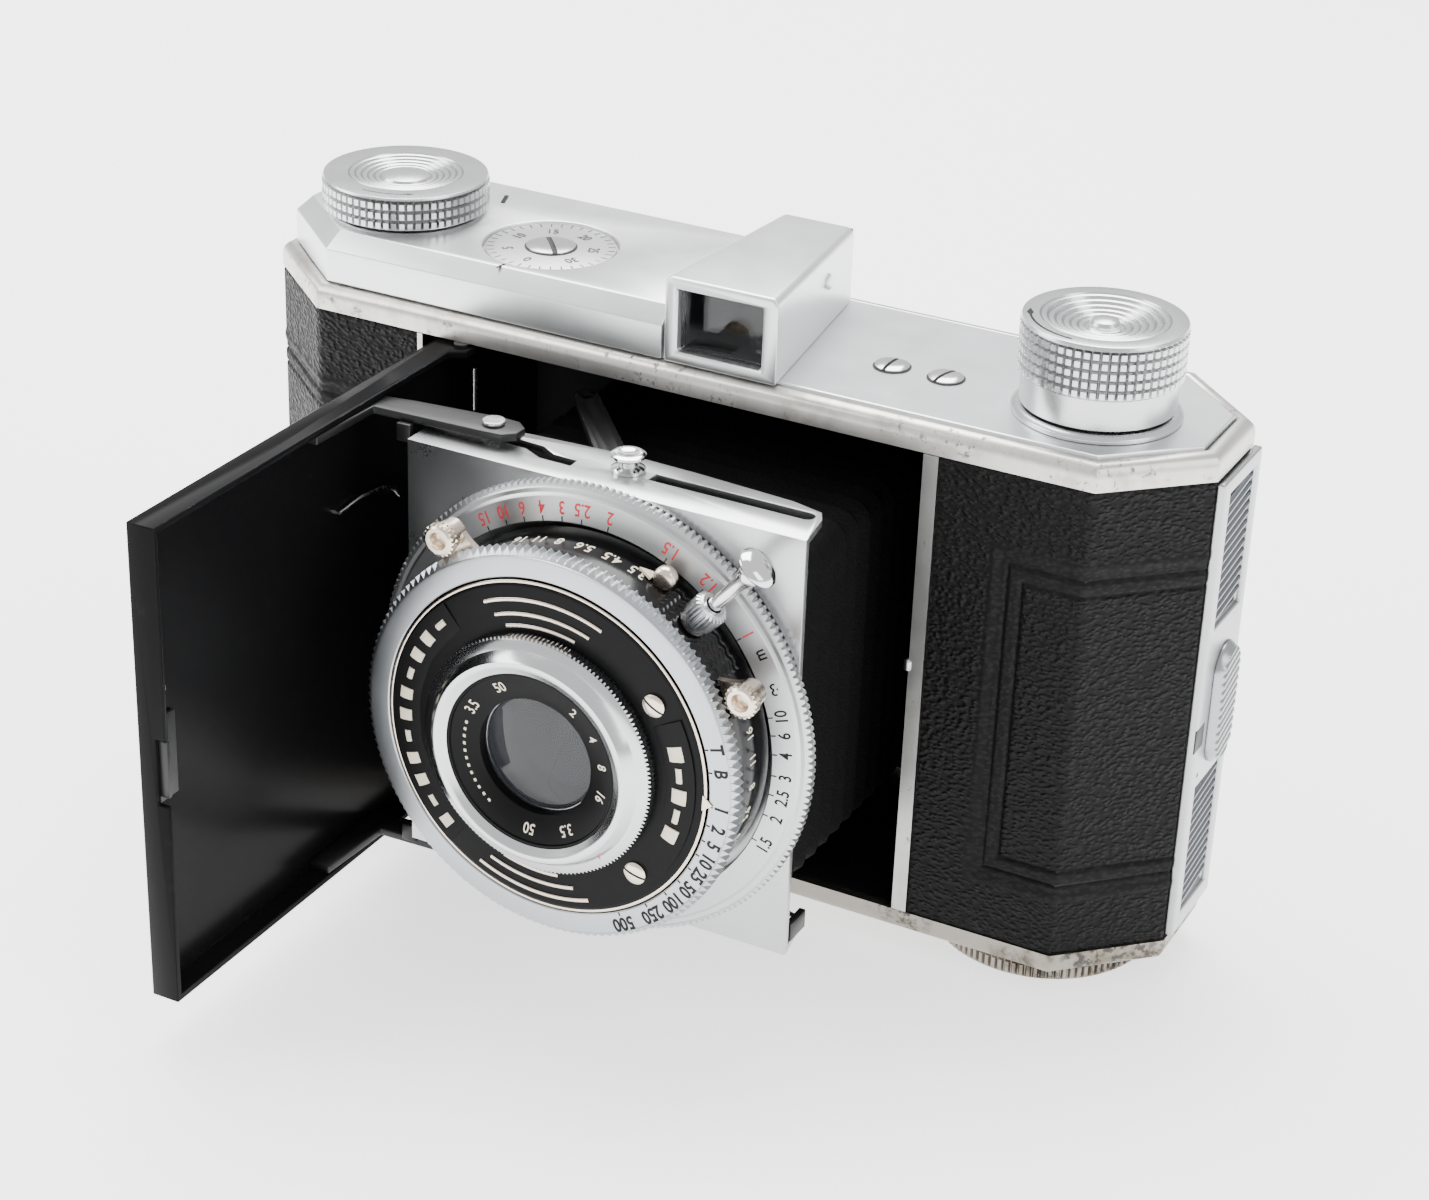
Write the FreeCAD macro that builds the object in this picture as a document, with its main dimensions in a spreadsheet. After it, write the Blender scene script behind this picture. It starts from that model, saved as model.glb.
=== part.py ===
import FreeCAD, Part
import math
import os
import Sketcher

# Folding 35 mm viewfinder camera with a side-hinged front door and a strut-borne bellows.
# Modelled about the lens: X to the right, Y to the back from the front face, Z up from the
# lens axis. Every piece is then placed so that the row's origin is the tripod socket's mouth.

Vector = FreeCAD.Vector
doc = FreeCAD.newDocument("folding_camera")

# ---------------------------------------------------------------- driving dimensions
CELLS = [
    ("body_left", 62.5), ("body_right", 57.5), ("front_left", 50.85), ("front_right", 47.35),
    ("corner_depth", 9.85), ("waist_depth", 21.4), ("body_depth", 31.3), ("skin", 0.35),
    ("side_up", 28.8), ("side_down", 29.0), ("lid_up", 32.1), ("lid_down", 32.0),
    ("ground", 34.5), ("open_left", 36.1), ("open_right", 27.6), ("strip_wide", 1.8),
    ("gate_front", 26.2), ("gate_back", 27.2), ("gate_up", 22.6), ("frame_wide", 36.0),
    ("frame_tall", 24.0), ("wind_x", 46.96), ("knob_y", 13.55), ("rewind_x", 41.9),
    ("wind_bore", 9.8), ("supply_bore", 12.6), ("wind_knob_radius", 9.99),
    ("wind_knob_top", 42.5), ("housing_top", 38.0), ("rewind_knob_radius", 9.14),
    ("rewind_knob_top", 43.1), ("dial_x", 26.0), ("dial_y", 12.0), ("dial_radius", 8.0),
    ("boss_x", 40.9), ("boss_y", 14.6), ("boss_radius", 13.0), ("socket_radius", 3.175),
    ("socket_deep", 5.5), ("foot_radius", 9.0), ("finder_left", 4.8), ("finder_right", 9.3),
    ("finder_top", 42.3), ("finder_back", 28.2), ("hinge_x", 30.75), ("hinge_y", 0.05),
    ("door_out", 3.55), ("door_sheet", 0.6), ("door_lip", 3.4), ("door_reach", 57.95),
    ("door_root", 3.6), ("door_half", 28.5), ("lip_sheet", 0.8), ("pin_radius", 0.9),
    ("board_front", 21.2), ("board_sheet", 0.8), ("board_left", 24.5), ("board_right", 24.1),
    ("board_up", 26.1), ("board_down", 24.7), ("bellows_half", 21.5), ("bellows_wall", 1.2),
    ("focus_radius", 26.93), ("focus_bore", 22.6), ("focus_back", 21.5), ("focus_front", 23.0),
    ("scale_radius", 25.5), ("scale_front", 23.8), ("drum_radius", 21.7), ("drum_back", 22.7),
    ("drum_front", 30.5), ("speed_radius", 23.0), ("speed_bore", 19.8), ("speed_back", 30.7),
    ("speed_front", 32.7), ("face_radius", 19.6), ("bezel_radius", 14.0), ("bezel_lip", 11.78),
    ("bezel_front", 36.6), ("glass_radius", 6.8), ("lever_bore", 21.8), ("lever_rim", 22.3),
    ("running_gap", 0.05), ("back_pin_x", 61.0), ("back_pin_y", 22.6), ("knuckle_radius", 1.4),
    ("back_sheet", 1.1), ("latch_wide", 6.5), ("latch_tall", 15.0), ("plunger_radius", 0.9),
    ("plunger_reach", 34.0),
]
sheet = doc.addObject("Spreadsheet::Sheet", "Sizes")
VALUES = {}
for row, (alias, value) in enumerate(CELLS, start=1):
    sheet.set("A%d" % row, alias)
    sheet.set("B%d" % row, str(value))
    sheet.setAlias("B%d" % row, alias)
    VALUES[alias] = value
doc.recompute()


class Size:
    """A length with its number and its spreadsheet expression."""

    def __init__(self, number, text):
        self.number = number
        self.text = text

    def __add__(self, other):
        other = size(other)
        return Size(self.number + other.number, "(%s + %s)" % (self.text, other.text))

    def __radd__(self, other):
        return size(other) + self

    def __sub__(self, other):
        other = size(other)
        return Size(self.number - other.number, "(%s - %s)" % (self.text, other.text))

    def __rsub__(self, other):
        return size(other) - self

    def __mul__(self, other):
        return Size(self.number * other, "(%s * %s)" % (self.text, other))

    def __neg__(self):
        return Size(-self.number, "(0 - %s)" % self.text)


def size(value):
    if isinstance(value, Size):
        return value
    return Size(float(value), repr(round(float(value), 4)))


def cell(alias):
    return Size(VALUES[alias], "Sizes." + alias)


def bind(thing, prop, value):
    """Sets a size, and ties it to the sheet when it comes from there."""
    if isinstance(value, Size):
        thing.setExpression(prop, value.text)
    else:
        setattr(thing, prop, value)


# The row's origin: the mouth of the tripod socket, on the ground.
SHIFT = Vector(-VALUES["boss_x"], -VALUES["boss_y"], VALUES["ground"])
PLANES = {"top": "XY_Plane", "front": "XZ_Plane", "side": "YZ_Plane"}
nodes = {}


class Piece:
    """One sub-part: a PartDesign body built up from sketches on its own origin planes."""

    def __init__(self, label, turn=0.0, at=(0.0, 0.0, 0.0)):
        self.label = label
        self.body = doc.addObject("PartDesign::Body", label)
        self.body.Label = label
        self.turn = turn
        self.at = Vector(*at)
        self.count = 0
        nodes[label] = self

    def name(self, what):
        self.count += 1
        return "%s_%s%d" % (self.label, what, self.count)

    def sketch(self, plane, level):
        made = self.body.newObject("Sketcher::SketchObject", self.name("sketch"))
        role = PLANES[plane]
        support = [f for f in self.body.Origin.OriginFeatures if f.Role == role][0]
        made.AttachmentSupport = [(support, "")]
        made.MapMode = "FlatFace"
        made.AttachmentOffset = FreeCAD.Placement(Vector(0, 0, size(level).number), FreeCAD.Rotation())
        if isinstance(level, Size):
            made.setExpression("AttachmentOffset.Base.z", level.text)
        return made

    def loop(self, made, points):
        """A closed outline; each corner's distances from the origin are tied to the sheet."""
        first = made.GeometryCount
        total = len(points)
        numbers = [(size(p).number, size(q).number) for p, q in points]
        for k in range(total):
            start = Vector(numbers[k][0], numbers[k][1], 0)
            end = Vector(numbers[(k + 1) % total][0], numbers[(k + 1) % total][1], 0)
            made.addGeometry(Part.LineSegment(start, end), False)
        for k in range(total):
            after = first + (k + 1) % total
            made.addConstraint(Sketcher.Constraint("Coincident", first + k, 2, after, 1))
        for k, (across, along) in enumerate(points):
            for kind, value in (("DistanceX", across), ("DistanceY", along)):
                number = size(value).number
                index = made.addConstraint(Sketcher.Constraint(kind, -1, 1, first + k, 1, number))
                if isinstance(value, Size):
                    made.setExpression("Constraints[%d]" % index, value.text)

    def ring(self, made, across, along, radius):
        """A full circle, its centre and radius tied to the sheet."""
        spot = Vector(size(across).number, size(along).number, 0)
        index = made.addGeometry(Part.Circle(spot, Vector(0, 0, 1), size(radius).number), False)
        for kind, value in (("DistanceX", across), ("DistanceY", along)):
            number = size(value).number
            held = made.addConstraint(Sketcher.Constraint(kind, -1, 1, index, 3, number))
            if isinstance(value, Size):
                made.setExpression("Constraints[%d]" % held, value.text)
        held = made.addConstraint(Sketcher.Constraint("Radius", index, size(radius).number))
        if isinstance(radius, Size):
            made.setExpression("Constraints[%d]" % held, radius.text)

    def draw(self, plane, level, outlines):
        made = self.sketch(plane, level)
        for outline in outlines:
            if isinstance(outline, tuple):
                self.ring(made, *outline)
            else:
                self.loop(made, outline)
        return made

    def volume(self):
        return self.body.Shape.Volume if self.count > 2 else 0.0

    def pad(self, plane, low, high, outlines):
        """Stands material up between two levels of a plane's normal."""
        made = self.draw(plane, low, outlines)
        feature = self.body.newObject("PartDesign::Pad", self.name("pad"))
        feature.Profile = made
        bind(feature, "Length", size(high) - low if isinstance(low, Size) or isinstance(high, Size) else high - low)
        doc.recompute()
        return self

    def cut(self, plane, low, high, outlines):
        """Takes material away between two levels, and checks that something went."""
        before = self.body.Shape.Volume
        made = self.draw(plane, high, outlines)
        feature = self.body.newObject("PartDesign::Pocket", self.name("pocket"))
        feature.Profile = made
        bind(feature, "Length", size(high) - low if isinstance(low, Size) or isinstance(high, Size) else high - low)
        doc.recompute()
        if not self.body.Shape.Volume < before - 0.001:
            raise RuntimeError("nothing was cut from " + self.label)
        return self

    def spin(self, points, across=0, plane="top", groove=False):
        """Turns a closed outline about the sketch's upright axis, moved across by some length."""
        before = self.body.Shape.Volume if groove else 0.0
        moved = [(size(p) + across if isinstance(across, Size) or isinstance(p, Size) else p + across, q) for p, q in points]
        made = self.draw(plane, 0, [moved])
        start = Vector(size(across).number, 0, 0)
        end = Vector(size(across).number, 10, 0)
        line = made.addGeometry(Part.LineSegment(start, end), True)
        made.addConstraint(Sketcher.Constraint("Vertical", line))
        kind = "PartDesign::Groove" if groove else "PartDesign::Revolution"
        feature = self.body.newObject(kind, self.name("turned"))
        feature.Profile = made
        feature.ReferenceAxis = (made, ["Axis0"])
        feature.Angle = 360
        doc.recompute()
        if groove and not self.body.Shape.Volume < before - 0.001:
            raise RuntimeError("nothing was turned from " + self.label)
        return self

    def dress(self, kind, amount, wanted):
        """Rounds or bevels every edge whose middle point is wanted."""
        tip = self.body.Tip
        names = []
        for index, edge in enumerate(tip.Shape.Edges, start=1):
            middle = edge.valueAt((edge.FirstParameter + edge.LastParameter) / 2)
            if wanted(middle, edge):
                names.append("Edge%d" % index)
        if not names:
            raise RuntimeError("no edge to dress on " + self.label)
        feature = self.body.newObject("PartDesign::" + kind, self.name(kind.lower()))
        feature.Base = (tip, names)
        bind(feature, "Radius" if kind == "Fillet" else "Size", amount)
        doc.recompute()
        return self


def lathe(label, points, at=(0.0, 0.0, 0.0), turn=0.0):
    """A piece turned about the lens axis: points are (radius, distance in front of the face)."""
    piece = Piece(label, turn, at)
    piece.spin([(radius, -size(front) if isinstance(front, Size) else -front) for radius, front in points])
    return piece


def post(label, across, points, along):
    """A piece turned about an upright axis: points are (radius, height)."""
    piece = Piece(label, 0.0, (size(across).number, size(along).number, 0.0))
    piece.spin(points, plane="front")
    return piece


def tube(inner, outer, back, front):
    return [(inner, back), (outer, back), (outer, front), (inner, front)]


def box(x0, x1, y0, y1):
    return [(x0, y0), (x1, y0), (x1, y1), (x0, y1)]


def octagon(inset):
    """The body's plan, drawn in by an inset on every side."""
    slant = inset * 0.41
    left = -cell("body_left") + inset
    right = cell("body_right") - inset
    return [
        (-cell("front_left") + slant, size(inset)), (cell("front_right") - slant, size(inset)),
        (right, cell("corner_depth") + slant), (right, cell("waist_depth") - slant),
        (cell("front_right") - slant, cell("body_depth") - inset),
        (-cell("front_left") + slant, cell("body_depth") - inset),
        (left, cell("waist_depth") - slant), (left, cell("corner_depth") + slant),
    ]


# ---------------------------------------------------------------- camera body
skin = cell("skin")
up = cell("side_up")
down = -cell("side_down")
open_left = -cell("open_left")
open_right = cell("open_right")
wind_x = -cell("wind_x")
knob_y = cell("knob_y")
rewind_x = cell("rewind_x")
gate_back = cell("gate_back")
hinge_x = -cell("hinge_x")
hinge_y = -cell("hinge_y")
gap = cell("running_gap")

# Die-cast body: two film chambers, a floor, a ceiling and the film gate's wall, five castings
# that meet in hairline joints.
casting = Piece("body_casting")
plan = [
    (-cell("front_left") + 0.2, skin), (cell("front_right") - 0.2, skin),
    (cell("body_right") - 0.4, cell("corner_depth") + 0.15), (cell("body_right") - 0.4, 21.2),
    (29.0, 21.2), (29.0, gate_back), (open_left - 1.1, gate_back), (open_left - 1.1, 21.2),
    (-cell("body_left") + 0.4, 21.2), (-cell("body_left") + 0.4, cell("corner_depth") + 0.15),
]
casting.pad("top", down, up, [plan])
casting.cut("front", -cell("gate_front"), 5, [box(open_left, open_right, down - 1, up + 1)])
floor_plan = [
    (-cell("front_left") + 1.2, 1.2), (cell("front_right") - 1.2, 1.2),
    (cell("body_right") - 1.2, 10.4), (cell("body_right") - 1.2, 21.2), (29.0, 21.2),
    (29.0, 26.0), (open_left - 1.1, 26.0), (open_left - 1.1, 21.2),
    (-cell("body_left") + 1.2, 21.2), (-cell("body_left") + 1.2, 10.4),
]
casting.pad("top", up + 0.02, up + 1.2, [floor_plan])
casting.pad("top", down - 1.2, down - 0.02, [floor_plan])
casting.cut("front", -28, -20, [box(-18, 18, -12, 12)])
casting.cut("front", -28, -25, [
    box(open_left, open_right, cell("gate_up"), up), box(open_left, open_right, down, -cell("gate_up")),
])
chambers = [(wind_x, knob_y, cell("wind_bore"))]
casting.cut("top", -27.6, 27.6, chambers)
casting.cut("top", -27.6, 27.6, [(rewind_x, knob_y, cell("supply_bore"))])
casting.cut("top", -27.6, 27.6, [box(wind_x - 9.8, open_left - 1.1, knob_y, 21.3)])
casting.cut("top", -27.6, 27.6, [box(29.3, rewind_x + 12.6, knob_y, 21.3)])
casting.cut("top", 27, 31, [(wind_x, knob_y, size(2.45)), (rewind_x, knob_y, size(3.0))])
casting.cut("top", -31, -27, [(wind_x, knob_y, size(2.0))])
casting.cut("top", -31, -29.15, [(cell("boss_x"), cell("boss_y"), size(4.4))])
casting.cut("top", -30, 30, [
    box(open_left, open_left + 0.02, gate_back - 2, gate_back + 1),
    box(open_right - 0.02, open_right, gate_back - 2, gate_back + 1),
])

# Film gate: rails and a window on the gate wall.
gate = Piece("film_gate")
gate.pad("front", -27.8, -gate_back, [box(-26, 24, -17.5, 17.5), box(-18, 18, -12, 12)])

# Chromed lid and base, each a shallow pan over the casting with a rounded outer edge.
lid = Piece("top_plate")
lid.pad("top", up + 0.02, cell("lid_up"), [octagon(size(0.0))])
lid.dress("Chamfer", 0.9, lambda p, e: abs(p.z - VALUES["lid_up"]) < 0.01)
lid.cut("top", up - 1, up + 1.25, [octagon(size(1.1))])
lid.cut("top", 29, 33, [(wind_x, knob_y, size(2.45)), (rewind_x, knob_y, size(3.0))])
lid.pad("top", up + 0.02, up + 1.3, [box(hinge_x - 2.2, hinge_x + 2.2, 0.25, 1.2)])

base = Piece("bottom_plate")
base.pad("top", -cell("lid_down"), down - 0.02, [octagon(size(0.0))])
base.dress("Chamfer", 1.2, lambda p, e: abs(p.z + VALUES["lid_down"]) < 0.01)
base.cut("top", down - 1.25, down + 1, [octagon(size(1.1))])
base.cut("top", -33, -29, [(cell("boss_x"), cell("boss_y"), size(4.4))])

# Raised housing over the winding side, with a recess for the exposure counter.
housing = Piece("wind_housing")
housing_plan = [
    (-49.9, 0.9), (-5.25, 0.9), (-5.25, 29.0), (-49.9, 29.0), (-60.6, 20.2), (-60.6, 10.3),
]
housing.pad("top", cell("lid_up") + 0.01, cell("housing_top"), [housing_plan])
housing.dress("Chamfer", 1.9, lambda p, e: abs(p.z - 38.0) < 0.01 and p.x < -5.3)
inner_plan = [(-48.6, 2.9), (-6.4, 2.9), (-6.4, 27.2), (-48.6, 27.2), (-58.4, 19.2), (-58.4, 11.3)]
housing.cut("top", 30, 36.6, [inner_plan])
housing.pad("top", cell("lid_up") + 0.01, 36.7, [(-cell("dial_x"), cell("dial_y"), size(9.0))])
housing.cut("top", 37.2, 39, [(-cell("dial_x"), cell("dial_y"), cell("dial_radius"))])
housing.cut("top", 30, 39, [(wind_x, knob_y, size(2.45))])
housing.cut("top", 33, 39, [(-cell("dial_x"), cell("dial_y"), size(1.05))])

# Viewfinder: a tapering tube with a window at each end.
finder = Piece("finder_housing")
front_box = box(-cell("finder_left"), cell("finder_right"), 32.12, cell("finder_top"))
back_box = box(-4.3, 5.3, 32.12, 41.4)


def loft(piece, near, far, near_outline, far_outline, kind):
    first = piece.draw("front", -near, [near_outline])
    second = piece.draw("front", -far, [far_outline])
    feature = piece.body.newObject("PartDesign::" + kind, piece.name("loft"))
    feature.Profile = first
    feature.Sections = [second]
    feature.Ruled = True
    doc.recompute()


loft(finder, 0.5, 28.2, front_box, back_box, "AdditiveLoft")
loft(finder, 0.3, 28.4, box(-3.2, 7.4, 33.5, 40.9), box(-2.9, 3.9, 33.5, 40.1), "SubtractiveLoft")
finder.dress("Chamfer", 0.6, lambda p, e: e.Length > 20 and p.z > 41)

lens_pane = Piece("finder_front_lens")
lens_pane.pad("front", -2.6, -1.6, [box(-3.1, 7.05, 33.6, 40.75)])
eyepiece = Piece("finder_eyepiece")
eyepiece.pad("front", -29.2, -28.22, [box(-3.6, 4.6, 33.0, 40.8), (0.5, 36.9, 2.4)])
eye_glass = Piece("finder_eye_glass")
eye_glass.pad("front", -28.9, -28.3, [(0.5, 36.9, 2.38)])

# Covering and the bright strips beside the opening.
right_skin = Piece("leather_front_right")
right_skin.pad("top", down + 0.05, up - 0.05, [[
    (open_right + cell("strip_wide") + 0.05, 0.0), (cell("front_right"), 0.0),
    (cell("body_right") - 0.05, cell("corner_depth")), (cell("body_right") - 0.38, cell("corner_depth") + 0.1),
    (cell("front_right") - 0.2, skin - 0.01), (open_right + cell("strip_wide") + 0.05, skin - 0.01),
]])
left_skin = Piece("leather_front_left")
left_skin.pad("top", down + 0.05, up - 0.05, [[
    (open_left - 0.75, 0.0), (-cell("front_left"), 0.0), (-cell("body_left") + 0.03, cell("corner_depth")),
    (-cell("body_left") + 0.03, 19.8), (-cell("body_left") + 0.38, 19.8),
    (-cell("body_left") + 0.38, cell("corner_depth") + 0.16), (-cell("front_left") + 0.2, skin - 0.01),
    (open_left - 0.75, skin - 0.01),
]])
strips = Piece("opening_strips")
strips.pad("top", down + 0.05, up - 0.05, [
    box(open_right + 0.02, open_right + cell("strip_wide"), -0.05, skin - 0.01),
    box(open_left - 0.7, open_left - 0.02, -0.05, skin - 0.01),
])

# Two slotted screws hold the lid.
screws = Piece("top_screws")
screws.pad("top", 32.11, 32.7, [(17.65, 13.0, 2.0), (24.2, 13.1, 2.0)])
screws.dress("Chamfer", 0.3, lambda p, e: p.z > 32.6)
screws.cut("top", 32.35, 33, [box(15.3, 26.6, 12.85, 13.25)])

# Tripod socket with a knurled surround, and a matching foot at the other end.
boss_x = cell("boss_x")
socket = post("tripod_socket", boss_x, [
    (cell("socket_radius"), -cell("ground")), (cell("boss_radius"), -cell("ground")),
    (cell("boss_radius"), -32.02), (4.35, -32.02), (4.35, -29.2),
    (cell("socket_radius"), -29.2),
], cell("boss_y"))
foot = post("base_foot", wind_x, [
    (0.0, -cell("ground")), (cell("foot_radius"), -cell("ground")), (cell("foot_radius"), -32.02),
    (0.0, -32.02),
], knob_y)

# ---------------------------------------------------------------- winding and rewinding
knob = post("wind_knob", wind_x, [
    (0.0, 38.15), (9.2, 38.15), (cell("wind_knob_radius"), 38.6), (cell("wind_knob_radius"), 42.0),
    (9.5, cell("wind_knob_top")), (6.6, cell("wind_knob_top")), (2.2, 41.9), (0.0, 41.9),
], knob_y)
shaft = post("wind_shaft", wind_x, [(0.0, 26.2), (2.4, 26.2), (2.4, 38.13), (0.0, 38.13)], knob_y)
spool = post("takeup_spool", wind_x, [
    (0.0, -29.4), (1.95, -29.4), (1.95, -27.4), (9.3, -27.4), (9.3, -26.4), (5.4, -26.4),
    (5.4, 25.2), (9.3, 25.2), (9.3, 26.18), (0.0, 26.18),
], knob_y)
dial = post("counter_dial", -cell("dial_x"), [
    (0.0, 35.0), (1.0, 35.0), (1.0, 37.3), (7.7, 37.3), (7.7, 37.75), (0.0, 37.75),
], cell("dial_y"))
dial_screw = Piece("counter_screw", 0.0, (-VALUES["dial_x"], VALUES["dial_y"], 0.0))
dial_screw.pad("top", 37.77, 38.3, [(0, 0, 2.9)])
dial_screw.dress("Chamfer", 0.25, lambda p, e: p.z > 38.2)
dial_screw.cut("top", 38.0, 39, [box(-3, 3, -0.25, 0.25)])

collar = post("rewind_collar", rewind_x, [
    (2.95, 32.12), (9.4, 32.12), (9.4, 32.6), (8.9, 33.0), (2.95, 33.0),
], knob_y)
rewind = post("rewind_knob", rewind_x, [
    (0.0, 33.2), (8.6, 33.2), (8.6, 36.6), (cell("rewind_knob_radius"), 36.9),
    (cell("rewind_knob_radius"), 42.6), (8.7, cell("rewind_knob_top")),
    (6.9, cell("rewind_knob_top")), (3.0, 42.3), (1.7, 42.3), (1.5, 42.9), (0.0, 43.0),
], knob_y)
rewind_shaft = Piece("rewind_shaft", 0.0, (VALUES["rewind_x"], VALUES["knob_y"], 0.0))
rewind_shaft.pad("top", 20.5, 33.18, [(0, 0, 1.9)])
rewind_shaft.cut("top", 20, 24.5, [box(-2.5, 2.5, -0.6, 0.6)])
sleeve = post("rewind_sleeve", rewind_x, [(1.95, 26.4), (2.9, 26.4), (2.9, 33.16), (1.95, 33.16)], knob_y)

# ---------------------------------------------------------------- back door
back = Piece("back_door_shell")
right_end = cell("body_right") - 0.4
sheet_in = cell("back_sheet")
back_y = cell("body_depth") - 0.3
back_plan = [
    (right_end, 21.45), (right_end, 21.7), (cell("front_right"), back_y), (-cell("front_left"), back_y),
    (-59.9, 23.3), (-59.1, 22.3), (-cell("front_left") + 0.5, back_y - sheet_in),
    (cell("front_right") - 0.5, back_y - sheet_in), (right_end - 1.2, 21.45),
]
back.pad("top", -28.8, 28.6, [back_plan])
pin_at = (-cell("back_pin_x"), cell("back_pin_y"))
knuckle = cell("knuckle_radius")
back.pad("top", -13.9, 13.9, [(pin_at[0], pin_at[1], knuckle)])
back.cut("top", -29, 29, [(pin_at[0], pin_at[1], size(0.86))])
back.cut("top", 13.9, 29, [(pin_at[0], pin_at[1], knuckle + 0.25)])
back.cut("top", -29, -13.9, [(pin_at[0], pin_at[1], knuckle + 0.25)])
knuckles = Piece("back_hinge_knuckles")
knuckle_plan = [
    (-cell("body_left") + 0.42, 21.21), (pin_at[0] + 1.0, 21.21), (pin_at[0] + 1.0, 22.2),
    (-cell("body_left") + 0.42, 22.2),
]
for low, high in ((14.05, 27.0), (-27.0, -14.05)):
    knuckles.pad("top", low, high, [(pin_at[0], pin_at[1], knuckle)])
    knuckles.pad("top", low, high, [knuckle_plan])
knuckles.cut("top", -29, 29, [(pin_at[0], pin_at[1], size(0.8))])
back_pin = Piece("back_hinge_pin")
back_pin.pad("top", -27.2, 27.2, [(pin_at[0], pin_at[1], size(0.79))])
back_skin = Piece("leather_back")
back_skin.pad("top", -28.0, 27.8, [[
    (cell("front_right") - 0.3, back_y + 0.01), (cell("front_right") - 0.3, cell("body_depth")),
    (-cell("front_left") + 0.3, cell("body_depth")), (-cell("front_left") + 0.3, back_y + 0.01),
]])
end_plate = Piece("back_end_plate")
plate_in = right_end + 0.04
end_plate.pad("top", -28.6, 28.4, [[
    (plate_in, 10.6), (plate_in + 0.5, 10.3), (plate_in + 1.1, 10.9), (plate_in + 1.1, 21.6),
    (plate_in + 0.5, 22.6), (plate_in, 22.0),
]])
end_plate.cut("side", 57.5, 60, [box(12.6, 21.0, 10.0, 26.5), box(12.6, 21.0, -26.5, -10.0)])
latch = Piece("latch_slide")
latch.pad("side", plate_in + 1.12, plate_in + 2.4, [box(14.3, 20.8, -8.5, 6.5)])
latch.dress("Fillet", 1.0, lambda p, e: abs(p.x - 59.54) < 0.02)
pressure = Piece("pressure_plate")
pressure.pad("front", -28.7, -28.0, [box(-21, 21, -17.3, 17.3)])
pressure.pad("front", -29.85, -29.55, [box(-14, 14, -4, 4)])
pressure.pad("front", -29.56, -28.7, [box(-13.5, -11.5, -4, 4), box(11.5, 13.5, -4, 4)])

# ---------------------------------------------------------------- front door
outer = hinge_x - cell("door_out")
inner = outer + cell("door_sheet")
edge = outer + cell("door_lip")
free = hinge_y - cell("door_reach")
root = hinge_y + cell("door_root")
half = cell("door_half")
lip = cell("lip_sheet")
pan = Piece("front_door_pan")
pan.pad("top", -half, half, [box(outer, inner, free, root)])
pan.pad("top", -half, half, [box(outer, edge, free, free + 0.7)])
for low, high in ((half - lip, half), (-half, -half + lip)):
    pan.pad("top", low, high, [[
        (outer, free), (edge, free), (edge, -2.6), (hinge_x + 1.6, -1.6), (hinge_x + 1.6, 1.3),
        (hinge_x + 0.6, 1.9), (outer, 1.9),
    ]])
pan.cut("top", -30, 30, [(hinge_x, hinge_y, cell("pin_radius") + gap)])
pan.cut("front", -free - 0.9, -free + 3.0, [box(-32.2, -30.5, -4.0, 4.0)])
door_skin = Piece("door_leather")
door_skin.pad("top", -27.8, 27.8, [box(outer - 0.3, outer - 0.01, free + 0.6, -1.5)])
pins = Piece("door_hinge_pins")
pins.pad("top", 26.4, 30.0, [(hinge_x, hinge_y, cell("pin_radius"))])
pins.pad("top", -30.2, -26.4, [(hinge_x, hinge_y, cell("pin_radius"))])
pins.dress("Chamfer", 0.2, lambda p, e: abs(abs(p.z) - 26.4) < 0.05)
catch = Piece("door_catch")
catch.pad("side", inner + 0.01, inner + 0.5, [box(-57.2, -53.0, -5.0, 5.0)])
catch.pad("side", inner + 0.4, inner + 2.4, [box(-57.2, -56.6, -3.4, 3.4)])
arm_plan = [
    (-33.6, -29.0), (-31.0, -29.0), (-30.6, -18.6), (-17.4, -18.1), (-14.6, -17.9),
    (-13.3, -16.6), (-13.3, -14.9), (-14.7, -13.7), (-17.0, -13.6), (-27.5, -14.8),
    (-30.6, -15.4), (-33.6, -15.6),
]
arm = Piece("door_arms")
for sign in (1, -1):
    levels = sorted((sign * 26.7, sign * 27.68))
    arm.pad("top", levels[0], levels[1], [arm_plan])
    levels = sorted((sign * 24.6, sign * 26.75))
    arm.pad("top", levels[0], levels[1], [box(-27.2, -25.4, -19.3, -18.5)])
rivets = Piece("door_rivets")
rivets.pad("side", inner + 0.01, inner + 0.6, [(-55.3, 8.2, 0.9)])
for low, high, radius in ((26.4, 26.69, 1.3), (27.69, 28.2, 1.3)):
    rivets.pad("top", low, high, [(-16.8, -15.7, radius)])
    rivets.pad("top", -high, -low, [(-16.8, -15.7, radius)])

# ---------------------------------------------------------------- lens standard
board = Piece("lens_board")
front_level = cell("board_front")
sheet_thick = cell("board_sheet")
board.pad("front", front_level - sheet_thick, front_level, [
    box(-cell("board_left"), cell("board_right"), -cell("board_down"), cell("board_up")),
    (0, 0, 16.6),
])
wing = [
    (-cell("board_left"), -21.1), (cell("board_right"), -21.1), (23.3, -15.8), (22.5, -14.2),
    (18.7, -13.2), (6.6, -12.3), (-1.2, -12.0), (-14.1, -12.9), (-cell("board_left"), -15.4),
]
board.pad("top", cell("board_up") - sheet_thick, cell("board_up"), [wing])
board.pad("top", -cell("board_down"), -cell("board_down") + sheet_thick, [wing])
slots = [box(3.0, 21.5, -16.6, -14.8), (3.0, -15.7, 0.9), (21.5, -15.7, 0.9)]
curve = [
    (-16.6, -14.6), (-11.0, -14.9), (-8.9, -16.2), (-5.9, -16.3), (-5.9, -17.9), (-9.8, -17.8),
    (-12.2, -16.5), (-16.6, -16.2),
]
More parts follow.
